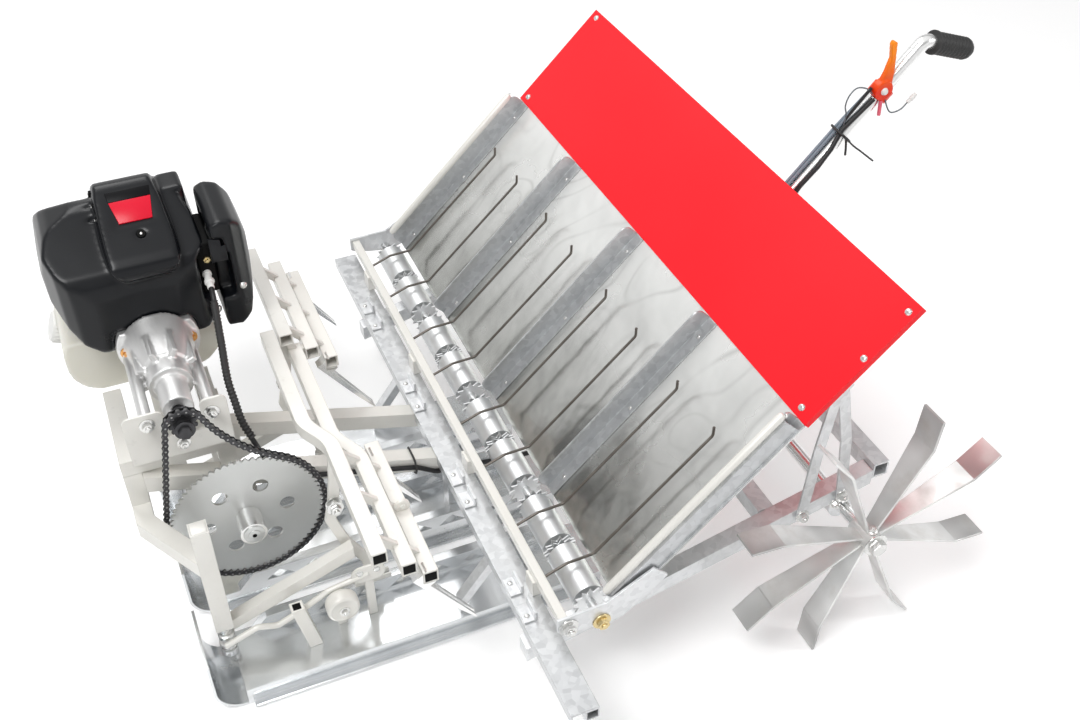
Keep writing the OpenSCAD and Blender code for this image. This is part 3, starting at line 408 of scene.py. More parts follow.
def make_camera():
    azimuth, elevation, roll = (math.radians(a) for a in
                                (CAMERA_AZIMUTH, CAMERA_ELEVATION, CAMERA_ROLL))
    back = Vector((math.sin(azimuth) * math.cos(elevation),
                   -math.cos(azimuth) * math.cos(elevation), math.sin(elevation)))
    right = (-back).cross(Vector((0, 0, 1))).normalized()
    up = right.cross(-back)
    side = math.cos(roll) * right + math.sin(roll) * up
    top = math.cos(roll) * up - math.sin(roll) * right
    data = bpy.data.cameras.new("camera")
    data.sensor_fit = "HORIZONTAL"
    data.sensor_width = SENSOR
    data.lens = LENS
    data.clip_start = NEAREST
    camera = bpy.data.objects.new("camera", data)
    bpy.context.collection.objects.link(camera)
    turn = Matrix((side, top, back)).transposed()
    camera.matrix_world = Matrix.Translation(CAMERA_AT) @ turn.to_4x4()
    bpy.context.scene.camera = camera


def make_floor():
    """White floor, a little brighter to the eye than the light that it throws back."""
    f = Finish("floor_white", Base_Color=(0.90, 0.90, 0.90), Roughness=0.75,
               Emission_Strength=FLOOR_GLOW)
    seen, gloss, through = (f.node("LightPath", {}, out="Is %s Ray" % kind)
                            for kind in ("Camera", "Glossy", "Transmission"))
    shown = seen.maths("MAXIMUM", seen, gloss.maths("MAXIMUM", gloss, through))
    f.feed("Emission Color", f.mix(shown, (0, 0, 0), (1, 1, 1)))
    bm = bmesh.new()
    bmesh.ops.create_grid(bm, x_segments=1, y_segments=1, size=FLOOR_HALF)
    bmesh.ops.translate(bm, verts=bm.verts, vec=(0, 0, FLOOR_Z))
    floor = mesh_object("studio_floor", bm)
    floor.data.materials.append(f.material)


def area_lamp(name, at, aim, size, watts):
    data = bpy.data.lights.new(name, "AREA")
    data.shape = "DISK"
    data.size = size
    data.energy = watts
    lamp = bpy.data.objects.new(name, data)
    bpy.context.collection.objects.link(lamp)
    away = Vector(at) - Vector(aim)
    lamp.matrix_world = Matrix.Translation(at) @ away.to_track_quat("Z", "Y").to_matrix().to_4x4()


def make_light():
    """Lamps and an even white light, with grey walls that only show and mirror."""
    for lamp in LAMPS:
        area_lamp(*lamp)
    world = bpy.data.worlds.new("studio")
    bpy.context.scene.world = world
    world.use_nodes = True
    nodes, links = world.node_tree.nodes, world.node_tree.links
    light = nodes["Background"]
    light.inputs["Color"].default_value = (1, 1, 1, 1)
    light.inputs["Strength"].default_value = WORLD_LIGHT
    walls = nodes.new("ShaderNodeBackground")
    ramp = nodes.new("ShaderNodeValToRGB")
    stops = ramp.color_ramp.elements
    while len(stops) < len(WALLS):
        stops.new(0.5)
    for stop, (height, grey) in zip(stops, WALLS):
        stop.position = height
        stop.color = (grey, grey, grey, 1)
    where = nodes.new("ShaderNodeTexCoord")
    split = nodes.new("ShaderNodeSeparateXYZ")
    path = nodes.new("ShaderNodeLightPath")
    seen, shown = nodes.new("ShaderNodeMath"), nodes.new("ShaderNodeMath")
    seen.operation = shown.operation = "MAXIMUM"
    blend = nodes.new("ShaderNodeMixShader")
    for a, b in (
        (where.outputs["Generated"], split.inputs[0]),
        (split.outputs["Z"], ramp.inputs["Fac"]),
        (ramp.outputs["Color"], walls.inputs["Color"]),
        (path.outputs["Is Camera Ray"], seen.inputs[0]),
        (path.outputs["Is Transmission Ray"], seen.inputs[1]),
        (seen.outputs[0], shown.inputs[0]),
        (path.outputs["Is Glossy Ray"], shown.inputs[1]),
        (shown.outputs[0], blend.inputs[0]),
        (light.outputs[0], blend.inputs[1]),
        (walls.outputs[0], blend.inputs[2]),
        (blend.outputs[0], nodes["World Output"].inputs["Surface"]),
    ):
        links.new(a, b)


# Mesh helpers

SAME_POINT = 1e-6
WASHER = 1.4


def mesh_object(name, bm):
    data = bpy.data.meshes.new(name)
    bm.to_mesh(data)
    bm.free()
    obj = bpy.data.objects.new(name, data)
    bpy.context.collection.objects.link(obj)
    return obj


def finish_piece(obj, body, finish, smooth=None):
    """Gives a piece its body and finish. Edges sharper than smooth degrees stay sharp."""
    dress(obj, finish)
    if obj.type == "MESH":
        for face in obj.data.polygons:
            face.use_smooth = smooth is not None
        if smooth:
            obj.data.set_sharp_from_angle(angle=math.radians(smooth))
    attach(obj, body)
    return obj


def turn_to(bm, verts, at, axis, roll=0.0):
    """Turns what was made along +Z to an axis, and moves it to a point in mm."""
    turn = Vector(axis).to_track_quat("Z", "Y").to_matrix().to_4x4()
    place = Matrix.Translation(Vector(at) * MM) @ turn @ Matrix.Rotation(roll, 4, "Z")
    bmesh.ops.transform(bm, matrix=place, verts=verts)


def disc(bm, radius, height, at, axis, sides, radius2=None, z=0.0, bevel=0.0, roll=0.0):
    """Round, hexagonal or tapered block that stands on a point."""
    made = bmesh.ops.create_cone(bm, cap_ends=True, segments=sides, radius1=radius * MM,
                                 radius2=(radius if radius2 is None else radius2) * MM,
                                 depth=height * MM)
    verts = made["verts"]
    bmesh.ops.translate(bm, verts=verts, vec=(0, 0, (z + height / 2) * MM))
    if bevel:
        rims = {e for v in verts for e in v.link_edges
                if all(abs(w.co.z - (z + height) * MM) < SAME_POINT / 10 for w in e.verts)}
        cut = bmesh.ops.bevel(bm, geom=list(rims), offset=bevel * MM, segments=2, profile=0.5,
                              affect="EDGES", material=-1)
        verts = list({v for v in verts if v.is_valid} | set(cut["verts"]))
    turn_to(bm, verts, at, axis, roll)


def hex_bolt(bm, at, axis, across, washer, stub, roll):
    """Washer, hexagon head or nut, and the end of the thread."""
    foot, tall = (WASHER if washer else 0.0), across * 0.5
    corner, thread = across * 0.577, across * 0.30
    if washer:
        disc(bm, across * 0.86, WASHER, at, axis, 20, bevel=0.4)
    disc(bm, corner, tall, at, axis, 6, z=foot, bevel=across * 0.06, roll=roll)
    if stub:
        disc(bm, thread, stub, at, axis, 12, z=foot + tall, bevel=0.5)


def round_head(bm, at, axis, radius, height):
    disc(bm, radius, height, at, axis, 16, radius2=radius * 0.72, bevel=height * 0.4)


def lathe(name, profile, at, axis, steps):
    """Turned piece from rows of radius and height in mm."""
    bm = bmesh.new()
    verts = [bm.verts.new((r * MM, 0, z * MM)) for r, z in profile]
    edges = [bm.edges.new(pair) for pair in zip(verts, verts[1:])]
    bmesh.ops.spin(bm, geom=verts + edges, cent=(0, 0, 0), axis=(0, 0, 1), angle=math.tau,
                   steps=steps, use_merge=True, use_duplicate=False, dvec=(0, 0, 0))
    bmesh.ops.remove_doubles(bm, verts=bm.verts, dist=SAME_POINT)
    bmesh.ops.recalc_face_normals(bm, faces=bm.faces)
    turn_to(bm, bm.verts, at, axis)
    return mesh_object(name, bm)


def softened(node, name, voxel, passes, finish, smooth):
    """Copy of a moulded or cast node with its edges rounded, which stands for the node."""
    bm = bmesh.new()
    bm.from_mesh(frame["nodes"][node].data)
    bmesh.ops.remove_doubles(bm, verts=bm.verts, dist=SAME_POINT)
    raw = mesh_object(name, bm)
    remesh = raw.modifiers.new("even", "REMESH")
    remesh.mode = "VOXEL"
    remesh.voxel_size = voxel * MM
    ease = raw.modifiers.new("ease", "SMOOTH")
    ease.factor = 0.5
    ease.iterations = passes
    data = bpy.data.meshes.new_from_object(raw.evaluated_get(
        bpy.context.evaluated_depsgraph_get()))
    raw.modifiers.clear()
    old = raw.data
    raw.data = data
    bpy.data.meshes.remove(old)
    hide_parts(node)
    return finish_piece(raw, "chassis", finish, smooth)


def spline(points, steps):
    """Smooth line through points in mm, as points in metres."""
    pts = [Vector(p) * MM for p in points]
    pts = [2 * pts[0] - pts[1]] + pts + [2 * pts[-1] - pts[-2]]
    line = []
    for a, b, c, d in zip(pts, pts[1:], pts[2:], pts[3:]):
        for i in range(steps):
            t = i / steps
            line.append(0.5 * (2 * b + (c - a) * t + (2 * a - 5 * b + 4 * c - d) * t * t
                               + (3 * b - a - 3 * c + d) * t ** 3))
    return line + [pts[-2]]


def wire(name, line, radius, radii=None):
    """Round wire along a line of points in metres."""
    data = bpy.data.curves.new(name, "CURVE")
    data.dimensions = "3D"
    data.bevel_depth = radius * MM
    data.bevel_resolution = 3
    data.use_fill_caps = True
    run = data.splines.new("POLY")
    run.points.add(len(line) - 1)
    for i, point in enumerate(line):
        run.points[i].co = (*point, 1)
        run.points[i].radius = radii[i] if radii else 1.0
    obj = bpy.data.objects.new(name, data)
    bpy.context.collection.objects.link(obj)
    return obj


def line_length(line):
    return sum((b - a).length for a, b in zip(line, line[1:]))


# Places in the part's own mm, where two numbers are [y, z]

X_AXIS = (1, 0, 0)
Z_AXIS = (0, 0, 1)
BOTH = (-1, 1)
ENGINE_SHAFT = Vector((-374, 303))
CRANK = Vector((-330.5, 146))
CRANK_END = 76.0
MOUNT_FACE = 26.0
POST_X, POST_Y = 125.0, -388.0
RAIL_FRONT, RAIL_REAR = (-417.7, 215), (-81.8, 113)
GANG_END = 275.3
GANG_TUBES = ((-235, 273), (-207, 245), (-186, 224))
ROD_EYE = (-243, 190)                       # on the rocker arms
LEVER_ROLLER = (-259, 75)
LANE = 180.0
TRAY_SHIFT = -39.0
TRAY_TILT = math.radians(43.7)
TRAY_END = 376.5                            # outer face of the end plates, from the tray's middle
FOLD_Z = 148.5
TRAY_NORMAL = (0, -math.sin(TRAY_TILT), math.cos(TRAY_TILT))
AXLE = (288, 160)
WHEEL_X = 357.0
STEM_FOOT = Vector((0, 208, 183.7))
STEM_TOP = Vector((0, 542, 538))
STEM = (STEM_TOP - STEM_FOOT).normalized()
STEM_SIDE = Vector((0, -STEM.z, STEM.y))
THROTTLE = 411.9                            # the throttle lever's pivot, up the stem
PANEL_FOOT = Vector((-144.2, -366, 435.1))  # the shroud's raised panel
PANEL_NORMAL = Vector((0.530, 0, 0.848)).normalized()
PANEL_UP = Vector((-0.848, 0, 0.530)).normalized()
FUEL_CAP = Vector((-235, -466, 258))
CAP_AXIS = Vector((0, -math.sin(math.radians(68)), math.cos(math.radians(68))))


def on_tray(x, v, n):
    """Point of the tray in mm: x across it, v up its slope and n off the sheet."""
    return (TRAY_SHIFT + x, v * math.cos(TRAY_TILT) - n * math.sin(TRAY_TILT),
            FOLD_Z + v * math.sin(TRAY_TILT) + n * math.cos(TRAY_TILT))


def by_stem(x, s, n):
    """Point beside the handle stem in mm: s up it and n off its upper side."""
    return tuple(STEM_FOOT + Vector((x, 0, 0)) + STEM * s + STEM_SIDE * n)


def stem_line(*points):
    return [by_stem(*point) for point in points]


def on_panel(y, u, n):
    """Point of the shroud's raised panel in mm: y across it, u up its slope, n off it."""
    return tuple(PANEL_FOOT + Vector((0, y, 0)) + PANEL_UP * u + PANEL_NORMAL * n)


def rail_z(y):
    """Height of the main rails' centre line."""
    (y0, z0), (y1, z1) = RAIL_FRONT, RAIL_REAR
    return z0 + (y - y0) * (z1 - z0) / (y1 - y0)


# Kinds of piece

SCREW_EDGE = 35
TURNED_EDGE = 40


def bolt_group(name, finish, body, heads, across, washer=True, stub=2.0):
    """Hexagon bolts from rows of place and axis."""
    bm = bmesh.new()
    for i, (at, axis) in enumerate(heads):
        hex_bolt(bm, at, axis, across, washer, stub, roll=0.3 + 0.9 * i)
    return finish_piece(mesh_object(name, bm), body, finish, SCREW_EDGE)


def screw_group(name, finish, body, heads, radius, height=2.6):
    """Round screw heads from rows of place and axis."""
    bm = bmesh.new()
    for at, axis in heads:
        round_head(bm, at, axis, radius, height)
    return finish_piece(mesh_object(name, bm), body, finish, SCREW_EDGE)


def disc_group(name, finish, body, discs):
    """Round blocks from rows of radius, height, place, axis, sides and bevel."""
    bm = bmesh.new()
    for radius, height, at, axis, sides, bevel in discs:
        disc(bm, radius, height, at, axis, sides, bevel=bevel)
    return finish_piece(mesh_object(name, bm), body, finish, TURNED_EDGE)


def box_group(name, finish, body, boxes, size, bevel=0.5, segments=2):
    """Equal boxes with eased edges, from rows of centre and axis."""
    bm = bmesh.new()
    for at, axis in boxes:
        made = bmesh.ops.create_cube(bm, size=1.0)
        bmesh.ops.scale(bm, verts=made["verts"], vec=Vector(size) * MM)
        edges = list({e for v in made["verts"] for e in v.link_edges})
        cut = bmesh.ops.bevel(bm, geom=edges, offset=bevel * MM, segments=segments,
                              profile=0.5, affect="EDGES", material=-1)
        verts = list({v for v in made["verts"] if v.is_valid} | set(cut["verts"]))
        turn_to(bm, verts, at, axis)
    return finish_piece(mesh_object(name, bm), body, finish, TURNED_EDGE)


def plug_group(name, finish, body, ends, half=6.2, depth=3.0):
    """Square plugs in open tube ends, from rows of place and axis."""
    return box_group(name, finish, body, ends, (2 * half, 2 * half, depth))


def turned(name, finish, body, profile, at, axis, steps=32):
    """Lathe piece with its finish."""
    return finish_piece(lathe(name, profile, at, axis, steps), body, finish, TURNED_EDGE)


def slab(name, finish, body, outline, thick, at, axis, bevel=0.6):
    """Flat plate from an outline in mm, that stands on a point along an axis."""
    bm = bmesh.new()
    face = bm.faces.new([bm.verts.new((x * MM, y * MM, 0)) for x, y in outline])
    made = bmesh.ops.extrude_face_region(bm, geom=[face])
    top = [v for v in made["geom"] if isinstance(v, bmesh.types.BMVert)]
    bmesh.ops.translate(bm, verts=top, vec=(0, 0, thick * MM))
    bmesh.ops.recalc_face_normals(bm, faces=bm.faces)
    rim = [e for e in bm.edges if all(v.co.z > thick * MM / 2 for v in e.verts)]
    bmesh.ops.bevel(bm, geom=rim, offset=bevel * MM, segments=2, profile=0.5, affect="EDGES",
                    material=-1)
    turn_to(bm, bm.verts, at, axis)
    return finish_piece(mesh_object(name, bm), body, finish, TURNED_EDGE)


def bent_wire(name, finish, body, points, radius, steps):
    """Wire on a smooth line through points in mm."""
    return finish_piece(wire(name, spline(points, steps), radius), body, finish)


def closed_ring(name, finish, body, points, radius):
    """Tie or band along a closed line of points in mm."""
    return bent_wire(name, finish, body, points + points[:1], radius, 3)


def straight_bead(name, finish, body, points, radius, tip):
    """Rolled edge on a straight line of four points in mm, with its tips drawn in."""
    line = [Vector(point) * MM for point in points]
    return finish_piece(wire(name, line, radius, [tip, 1.0, 1.0, tip]), body, finish)


def ribbed_sleeve(name, finish, body, points, radius, pitch, depth):
    """Corrugated conduit: a wire whose radius goes up and down along its line."""
    line = spline(points, 24)
    at, rings = 0.0, []
    for a, b in zip(line, line[1:] + line[-1:]):
        rings.append(1.0 - depth * (0.5 - 0.5 * math.cos(at / (pitch * MM) * math.tau)))
        at += (b - a).length
    return finish_piece(wire(name, line, radius, rings), body, finish)


def free_wire(name, points, radius, finish):
    """Thin wire whose ends are seen."""
    line = spline(points, 8)
    obj = finish_piece(wire(name, line, radius), "chassis", finish)
    tuple(line[0])
    line_length(line)


# Chain

CHAIN_X = 45.0
CHAIN_PITCH = 8.0
CHAIN_LIFT = 4.5        # its pins' circle above the pitch circle
CHAIN_SAG = 180.0       # radius of the slack run
SMALL_TEETH, BIG_TEETH = 11, 67
PIN_OUT = 3.4           # outer faces of the link plates, from the chain's middle
ROLLER_LONG = 4.3


def polar(centre, radius, angle):
    return centre + radius * Vector((math.cos(angle), math.sin(angle)))


def chain_pins():
    """Centre of each pin as [y, z]: the tight run, the crank sprocket's wrap, the slack run and
    the engine sprocket's wrap, as the part's source lays them."""
    small, big = (CHAIN_PITCH / (2 * math.sin(math.pi / teeth)) + CHAIN_LIFT
                  for teeth in (SMALL_TEETH, BIG_TEETH))
    across = CRANK - ENGINE_SHAFT
    span = across.length
    way = math.atan2(across.y, across.x)
    tight = way - math.pi / 2 - math.asin((big - small) / span)
    o1, o2 = CHAIN_SAG + small, CHAIN_SAG + big
    a1 = way + math.acos((span * span + o1 * o1 - o2 * o2) / (2 * span * o1))
    a2 = way + math.pi - math.acos((span * span + o2 * o2 - o1 * o1) / (2 * span * o2))
    slack = polar(ENGINE_SHAFT, o1, a1)
    start = polar(ENGINE_SHAFT, small, tight)
    end = polar(CRANK, big, tight)
    runs = ((math.sqrt(span * span - (big - small) ** 2),
             lambda s, full: start + (end - start) * s / full),
            (big * ((a2 - tight) % math.tau),
             lambda s, full: polar(CRANK, big, tight + s / big)),
            (CHAIN_SAG * (a2 - a1),
             lambda s, full: polar(slack, CHAIN_SAG, a2 + math.pi - s / CHAIN_SAG)),
            (small * (tight + math.tau - a1),
             lambda s, full: polar(ENGINE_SHAFT, small, a1 + s / small)))
    whole = sum(length for length, place in runs)
    links = 2 * round(whole / CHAIN_PITCH / 2)
    for i in range(links):
        s = i * whole / links
        for length, place in runs:
            if s < length:
                yield place(s, length)
                break
            s -= length


def chain_details():
    pins = list(chain_pins())
    disc_group("chain_pins", "link_steel", "chassis",
               [(1.05, 0.5, (CHAIN_X + side * PIN_OUT, *pin), (side, 0, 0), 8, 0)
                for pin in pins for side in BOTH])
    disc_group("chain_rollers", "link_steel", "chassis",
               [(2.5, ROLLER_LONG, (CHAIN_X - ROLLER_LONG / 2, *pin), X_AXIS, 8, 0)
                for pin in pins])


def free_wires():
    """The two thin wires at the throttle lever."""
    free_wire("stop_wire",
              stem_line((8, 404, 14), (6, 403, 27), (4, 396, 37), (4, 384, 38), (4, 373, 32),
                        (4, 366, 21), (4.5, 356, 13.5)), 0.9, "grey_cable")
    joint = stem_line((11, 412, 2), (16, 404, -8), (17, 402, -20), (17, 412, -29),
                      (17, 424, -30))
    connector = turned("wire_connector", "white_plastic", "chassis",
                       [(0, -1), (2.2, -1), (2.4, 0), (2.4, 4), (3.0, 4.4), (3.0, 10),
                        (2.2, 10.6), (2.2, 13), (0, 13)],
                       joint[-1], Vector(joint[-1]) - Vector(joint[-2]), 16)
    free_wire("joint_wire", joint, 0.9, "grey_cable")


def engine_housings():
    """Moulded and cast nodes with their edges rounded, from rows of node, piece, grid in mm,
    passes of the easing, finish and sharpest smooth edge."""
    for row in (("engine_shroud", "shroud", 2.2, 14, "black_plastic", 60),
                ("air_cleaner", "air_cleaner_cover", 2.0, 26, "black_plastic", 60),
                ("fuel_tank", "tank", 2.2, 8, "tank_plastic", 60),
                ("engine_block", "castings", 1.6, 2, "cast_alloy", 50),
                ("throttle_lever", "lever", 0.9, 5, "orange_plastic", 60)):
        softened(*row)


def engine_bolts():
    y, z = ENGINE_SHAFT
    bolt_group("flange_bolts", "copper_zinc", "chassis",
               [((-95.5, y + side * 35, z + 3), X_AXIS) for side in BOTH], 9)
    bolt_group("ear_bolts", "zinc", "chassis",
               [((MOUNT_FACE, -409, 298), X_AXIS), ((MOUNT_FACE, -342, 294), X_AXIS)], 10)
    bolt_group("mount_bolt", "zinc", "chassis", [((MOUNT_FACE, -377.5, 262), X_AXIS)], 9)
    bolt_group("engine_shaft_bolt", "black_steel", "engine_output", [((54.5, y, z), X_AXIS)], 13,
               stub=0)
    screw_group("cover_screws", "zinc", "chassis",
                [((-118, -300, 318), (0.6, 0.8, 0)), ((-118, -268, 342), X_AXIS)], 4.5)


def shroud_details():
    """Blank plate, screw and vents on the shroud. The outlines are [y, up the panel]."""
    plate_at = on_panel(0, 0, -0.8)
    slab("plate_band", "badge_black", "chassis",
         [(-20.9, 31.2), (24.4, 31.2), (25.8, 43.4), (-22.4, 43.4)], 1.8, plate_at, PANEL_NORMAL,
         0.5)
    slab("plate_blank", "badge_red", "chassis",
         [(-15.5, 4.0), (20.2, 4.0), (24.3, 31.0), (-20.8, 31.0)], 1.8, plate_at, PANEL_NORMAL,
         0.5)
    # Painted shade: a near-black disc in the panel's screw hole
    disc_group("panel_screw_hole", "painted_shade_black", "chassis",
               [(4.6, 1.2, on_panel(4.0, -12.0, -0.7), PANEL_NORMAL, 28, 0)])
    screw_group("panel_screw", "zinc", "chassis", [(on_panel(4.0, -12.0, 0.4), PANEL_NORMAL)],
                1.7, 0.7)
    # Painted shade: near-black plugs in the shroud's vent openings
    plug_group("shroud_vents", "painted_shade_black", "chassis",
               [((-203 + i * 14, -403.0, 449 - i * 9), (0, -1, 0.25)) for i in range(3)], 3.0)
    # Painted highlights: small white slips in front of the vents stand in for light caught in the
    # vents
    plug_group("vent_painted_highlights", "white_plastic", "chassis",
               [((-202 + i * 14, -404.8, 450 - i * 9), (0, -1, 0.25)) for i in range(3)], 0.8, 1.0)


def carburettor():
    """What stands between the shroud and the air cleaner, with the cable's conduit."""
    # Painted shade: the body is near black for the shade in the gap between the shroud and the air
    # cleaner
    box_group("carburettor_body", "painted_shade_black", "chassis", [((-159.5, -302.6, 370), Z_AXIS)],
              (66.5, 19, 66), 2.5, 3)
    turned("cable_adjuster", "white_plastic", "chassis",
           [(0, -1), (5.2, -1), (5.2, 3), (4.2, 3.4), (4.2, 12), (5.4, 12.4), (5.4, 16),
            (4.0, 17), (4.0, 24), (3.2, 25), (0, 25)], (-127, -304, 363.5), (37.7, -1, -7), 20)
    bolt_group("mixture_screw", "yellow_zinc", "chassis", [((-126.4, -301, 383), X_AXIS)], 7,
               washer=False, stub=3)
    slab("choke_flap", "black_plastic", "chassis",
         [(-9, -16), (9, -16), (9, 2), (4, 2), (4, 10), (-9, 14)], 2.0, (-119.4, -287.5, 398),
         (1, 0, 0.12))
    bolt_group("cleaner_nuts", "zinc", "chassis", [((-127.5, -303, 352), X_AXIS)], 7)
    ribbed_sleeve("cable_conduit", "black_rubber", "chassis",
                  [(-88, -306, 352), (-60, -310, 317), (-34, -314, 284), (-14, -313, 264),
                   (2, -311, 246), (13, -305, 230)], 4.9, 4.2, 0.26)


def tube_ends():
    # Painted shade: near-black plugs in the open ends of the planting tubes
    plug_group("planting_plugs", "painted_shade_black", "planting_frame",
               [((side * GANG_END, y, z), (side, 0, 0)) for side in BOTH for y, z in GANG_TUBES])
    posts = [(side * POST_X, POST_Y) for side in BOTH]
    # Painted shade: near-black plugs in the posts' open lower ends
    plug_group("post_plugs", "painted_shade_black", "chassis", [((*post, 74.0), Z_AXIS) for post in posts],
               8.2)
    plug_group("post_caps", "cream_steel", "chassis", [((*post, 228.9), Z_AXIS) for post in posts],
               8.3)
    # Painted shade: a near-black plug in the socket's opening
    plug_group("socket_plug", "painted_shade_black", "chassis", [((150, -308.5, 91.0), Z_AXIS)], 4.6)


def planting_details():
    """Bolt and nut of the opened rod's eye on each rocker arm, and the near gang's button."""
    bolt_group("rocker_bolts", "zinc", "planting_frame",
               [((side * x, *ROD_EYE), (side, 0, 0)) for side in BOTH for x in (108.5, 115.4)],
               11, stub=3)
    turned("gang_button", "cream_steel", "planting_frame",
           [(0, -5), (7.6, -5), (8.3, -4.2), (8.3, -0.8), (7.4, 0), (3.4, 0), (3.0, 1.4),
            (0, 1.4)], (187, -185, 236.5), X_AXIS)


def float_lever_details():
    turned("lever_roller", "cream_steel", "chassis",
           [(0, -0.6), (14, -0.6), (17.6, 0.2), (18.7, 1.8), (18.9, 4), (18.9, 13), (18.6, 15),
            (17.2, 16.6), (15.4, 17.0), (14.4, 16.4), (6.5, 16.4), (5.6, 17.4), (0, 17.4)],
           (146, *LEVER_ROLLER), X_AXIS, 40)
    bolt_group("lever_bolt", "zinc", "chassis", [((163.2, *LEVER_ROLLER), X_AXIS)], 7, stub=1.5)
    screw_group("lever_plate_screws", "zinc", "chassis",
                [((140.6, y, 101), X_AXIS) for y in (-232, -212)], 4.4, 1.6)
    turned("float_pivot", "zinc", "chassis",
           [(0, 0), (9, 0), (9, 7), (6.2, 8), (6.2, 12), (10, 13), (10, 20), (6.4, 21),
            (6.4, 27), (9.4, 28), (9.4, 33), (7.4, 34), (7.4, 47), (0, 47)],
           (POST_X, POST_Y, 24.6), Z_AXIS, 28)


def handle_details():
    screw_group("lever_pivot_screw", "white_plastic", "chassis",
                [(by_stem(14.0, THROTTLE + 2, 9), X_AXIS)], 4.8, 3.2)
    closed_ring("stem_tie", "black_rubber", "chassis",
                stem_line((16, 346, 12), (9.5, 346, 17), (-7, 347, 16), (-12, 347, 2),
                          (-8, 346, -9), (2, 346, -12.5), (11, 346, -6), (16.5, 346, 4)), 1.6)
    bent_wire("tie_tail", "black_rubber", "chassis",
              stem_line((15.5, 346, 4), (18, 345, -8), (22, 346, -24), (24, 347, -46)), 1.1, 6)
    bent_wire("tie_stub", "black_rubber", "chassis",
              stem_line((15, 346, 6), (17, 338, -2), (17, 331, -10)), 1.4, 6)
    sleeve, sleeve_end = stem_line((12.5, 404, 2), (15, 388, -12))
    turned("wire_sleeve", "pink_sleeve", "chassis",
           [(0, 0), (2.0, 0), (2.3, 1), (2.2, 17), (1.9, 18.5), (0, 18.5)], sleeve,
           Vector(sleeve_end) - Vector(sleeve), 16)


def rail_ties():
    """Ties that hold the cable to the near main rail. The section is [x, above the rail]."""
    section = ((4.0, 11.6), (25.5, 11.6), (32.6, 4), (32.6, -4), (25.5, -11.6), (4.0, -11.6))
    for i, y in enumerate((-187.0, -126.0)):
        closed_ring("rail_tie_%d" % (i + 1), "black_rubber", "chassis",
                    [(x, y, rail_z(y) + up) for x, up in section], 1.3)


def tray_details():
    ends = [(TRAY_SHIFT + side * TRAY_END, (side, 0, 0)) for side in (1, -1)]
    for side in BOTH:
        straight_bead("edge_tube_%s" % ("left" if side < 0 else "right"), "cream_steel", "tray",
                      [on_tray(side * 363.0, v, 25.4) for v in (4, 8, 262, 267)], 5.0, 0.7)
    bolt_group("corner_bolts", "zinc", "tray", [((x, -62, 152), axis) for x, axis in ends], 13,
               stub=3)
    screw_group("panel_screws", "zinc", "tray",
                [(on_tray(x, v, 1.5), TRAY_NORMAL) for x, v in (
                    (-359, 426), (-359, 282), (364, 422), (366, 360), (355, 282))], 4.2, 2.2)
    screw_group("edge_rivets", "zinc", "tray",
                [(on_tray(side * 365.5, v, 24), TRAY_NORMAL)
                 for side in BOTH for v in range(40, 270, 38)], 2.6, 1.2)
    bolt_group("roller_bolts", "yellow_zinc", "tray",
               [((x, -24, 143), axis) for x, axis in ends], 12)


def crank_and_wheel_details():
    disc_group("crank_end_ring", "plated_disc", "crank",
               [(12, 1.6, (CRANK_END, *CRANK), X_AXIS, 32, 0.6),
                (7, 1.4, (CRANK_END + 1.4, *CRANK), X_AXIS, 24, 0.5)])
    # Painted shade: a near-black disc for the hole in the crank's end
    disc_group("crank_end_hole", "painted_shade_black", "crank",
               [(2.6, 0.4, (CRANK_END + 2.7, *CRANK), X_AXIS, 16, 0)])
    y, z = AXLE
    bolt_group("wheel_bolts", "zinc", "drive_wheels",
               [((side * WHEEL_X + 8, y, z + 12), Z_AXIS) for side in BOTH], 8)
    bolt_group("axle_nuts", "zinc", "drive_wheels",
               [((side * 374.3, y, z), (side, 0, 0)) for side in BOTH], 17, stub=0)


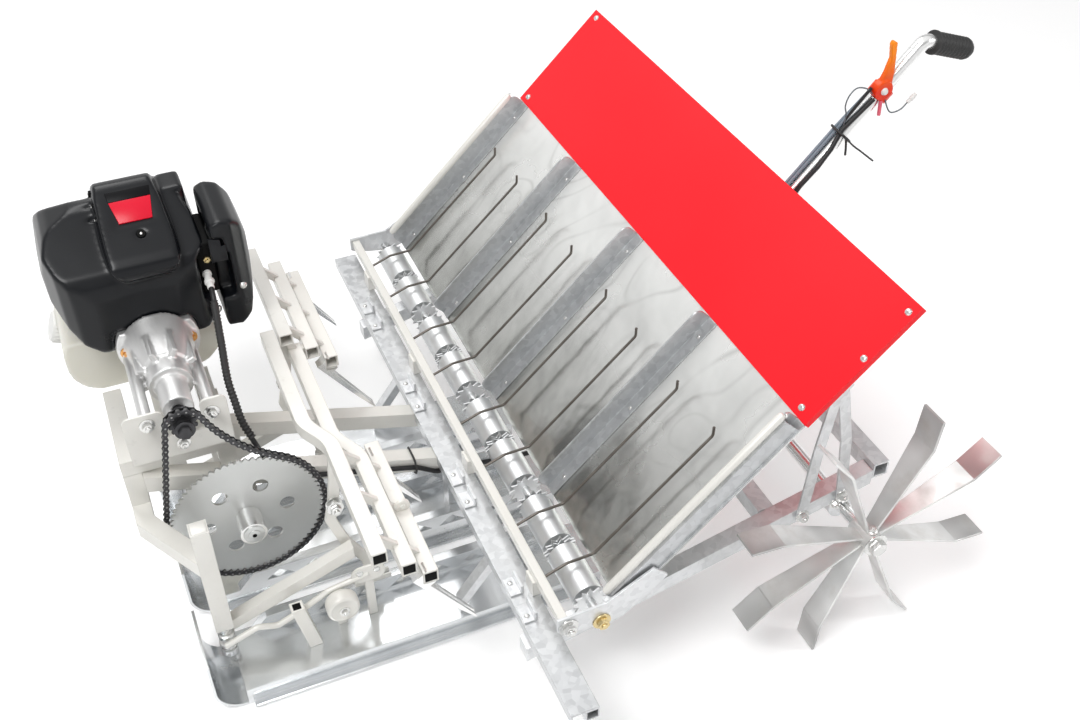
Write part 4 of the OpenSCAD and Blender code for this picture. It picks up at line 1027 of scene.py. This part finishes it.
def float_and_gate_details():
    for name, x in (("left", -143), ("centre", 0), ("right", 143)):
        for side, edge in (("in", -51), ("out", 51)):
            straight_bead("float_bead_%s_%s" % (name, side), "float_sheet", "chassis",
                          [(x + edge, y, 3.2) for y in (-377, -374, 46, 49)], 2.0, 0.6)
    screw_group("gate_screws", "zinc", "chassis",
                [(((lane - 1.5) * LANE + side * 24, -90.6, 133.7), Z_AXIS)
                 for lane in range(4) for side in BOTH], 3.2, 1.8)
    screw_group("divider_screws", "zinc", "tray",
                [(on_tray((lane - 2) * LANE + 9, v, 1.7), TRAY_NORMAL)
                 for lane in range(4) for v in (24, 136, 248)], 2.6, 1.3)


def rear_frame_details():
    bolt_group("strap_bolts", "zinc", "chassis",
               [((side * 313.3, y, z), (side, 0, 0)) for side in BOTH
                for y, z in ((251.9, 362.5), (232, 169.2), (282, 181.4))], 10)
    bolt_group("bearing_bolts", "zinc", "chassis",
               [((side * 310.0, y, z), (side, 0, 0)) for side in BOTH
                for y, z in ((276.5, 168), (299.5, 172))], 8)


def starter_and_cap():
    starter = ENGINE_SHAFT + Vector((0, 8))
    quarters = [math.radians(45 + 90 * i) for i in range(4)]
    screw_group("starter_screws", "zinc", "chassis",
                [((-297.8, *polar(starter, 50, a)), (-1, 0, 0)) for a in quarters], 3.4, 2.0)
    turned("fuel_cap", "white_plastic", "chassis",
           [(0, 8), (18.0, 8), (18.8, 9), (18.8, 20), (17.4, 22.4), (12, 23.4), (0, 23.4)],
           FUEL_CAP, CAP_AXIS, 36)
    turns = [math.tau * i / 24 for i in range(24)]
    across = Vector((0, CAP_AXIS.z, -CAP_AXIS.y))
    disc_group("fuel_cap_ribs", "white_plastic", "chassis",
               [(1.3, 10, FUEL_CAP + CAP_AXIS * 9.5
                 + (Vector(X_AXIS) * math.cos(a) + across * math.sin(a)) * 18.6, CAP_AXIS, 8, 0)
                for a in turns])


make_camera()
free_wires()
make_floor()
make_light()
dress_frame()
engine_housings()
engine_bolts()
shroud_details()
carburettor()
chain_details()
tube_ends()
planting_details()
float_lever_details()
handle_details()
rail_ties()
tray_details()
crank_and_wheel_details()
float_and_gate_details()
rear_frame_details()
starter_and_cap()

bpy.context.scene.view_settings.view_transform = "Standard"
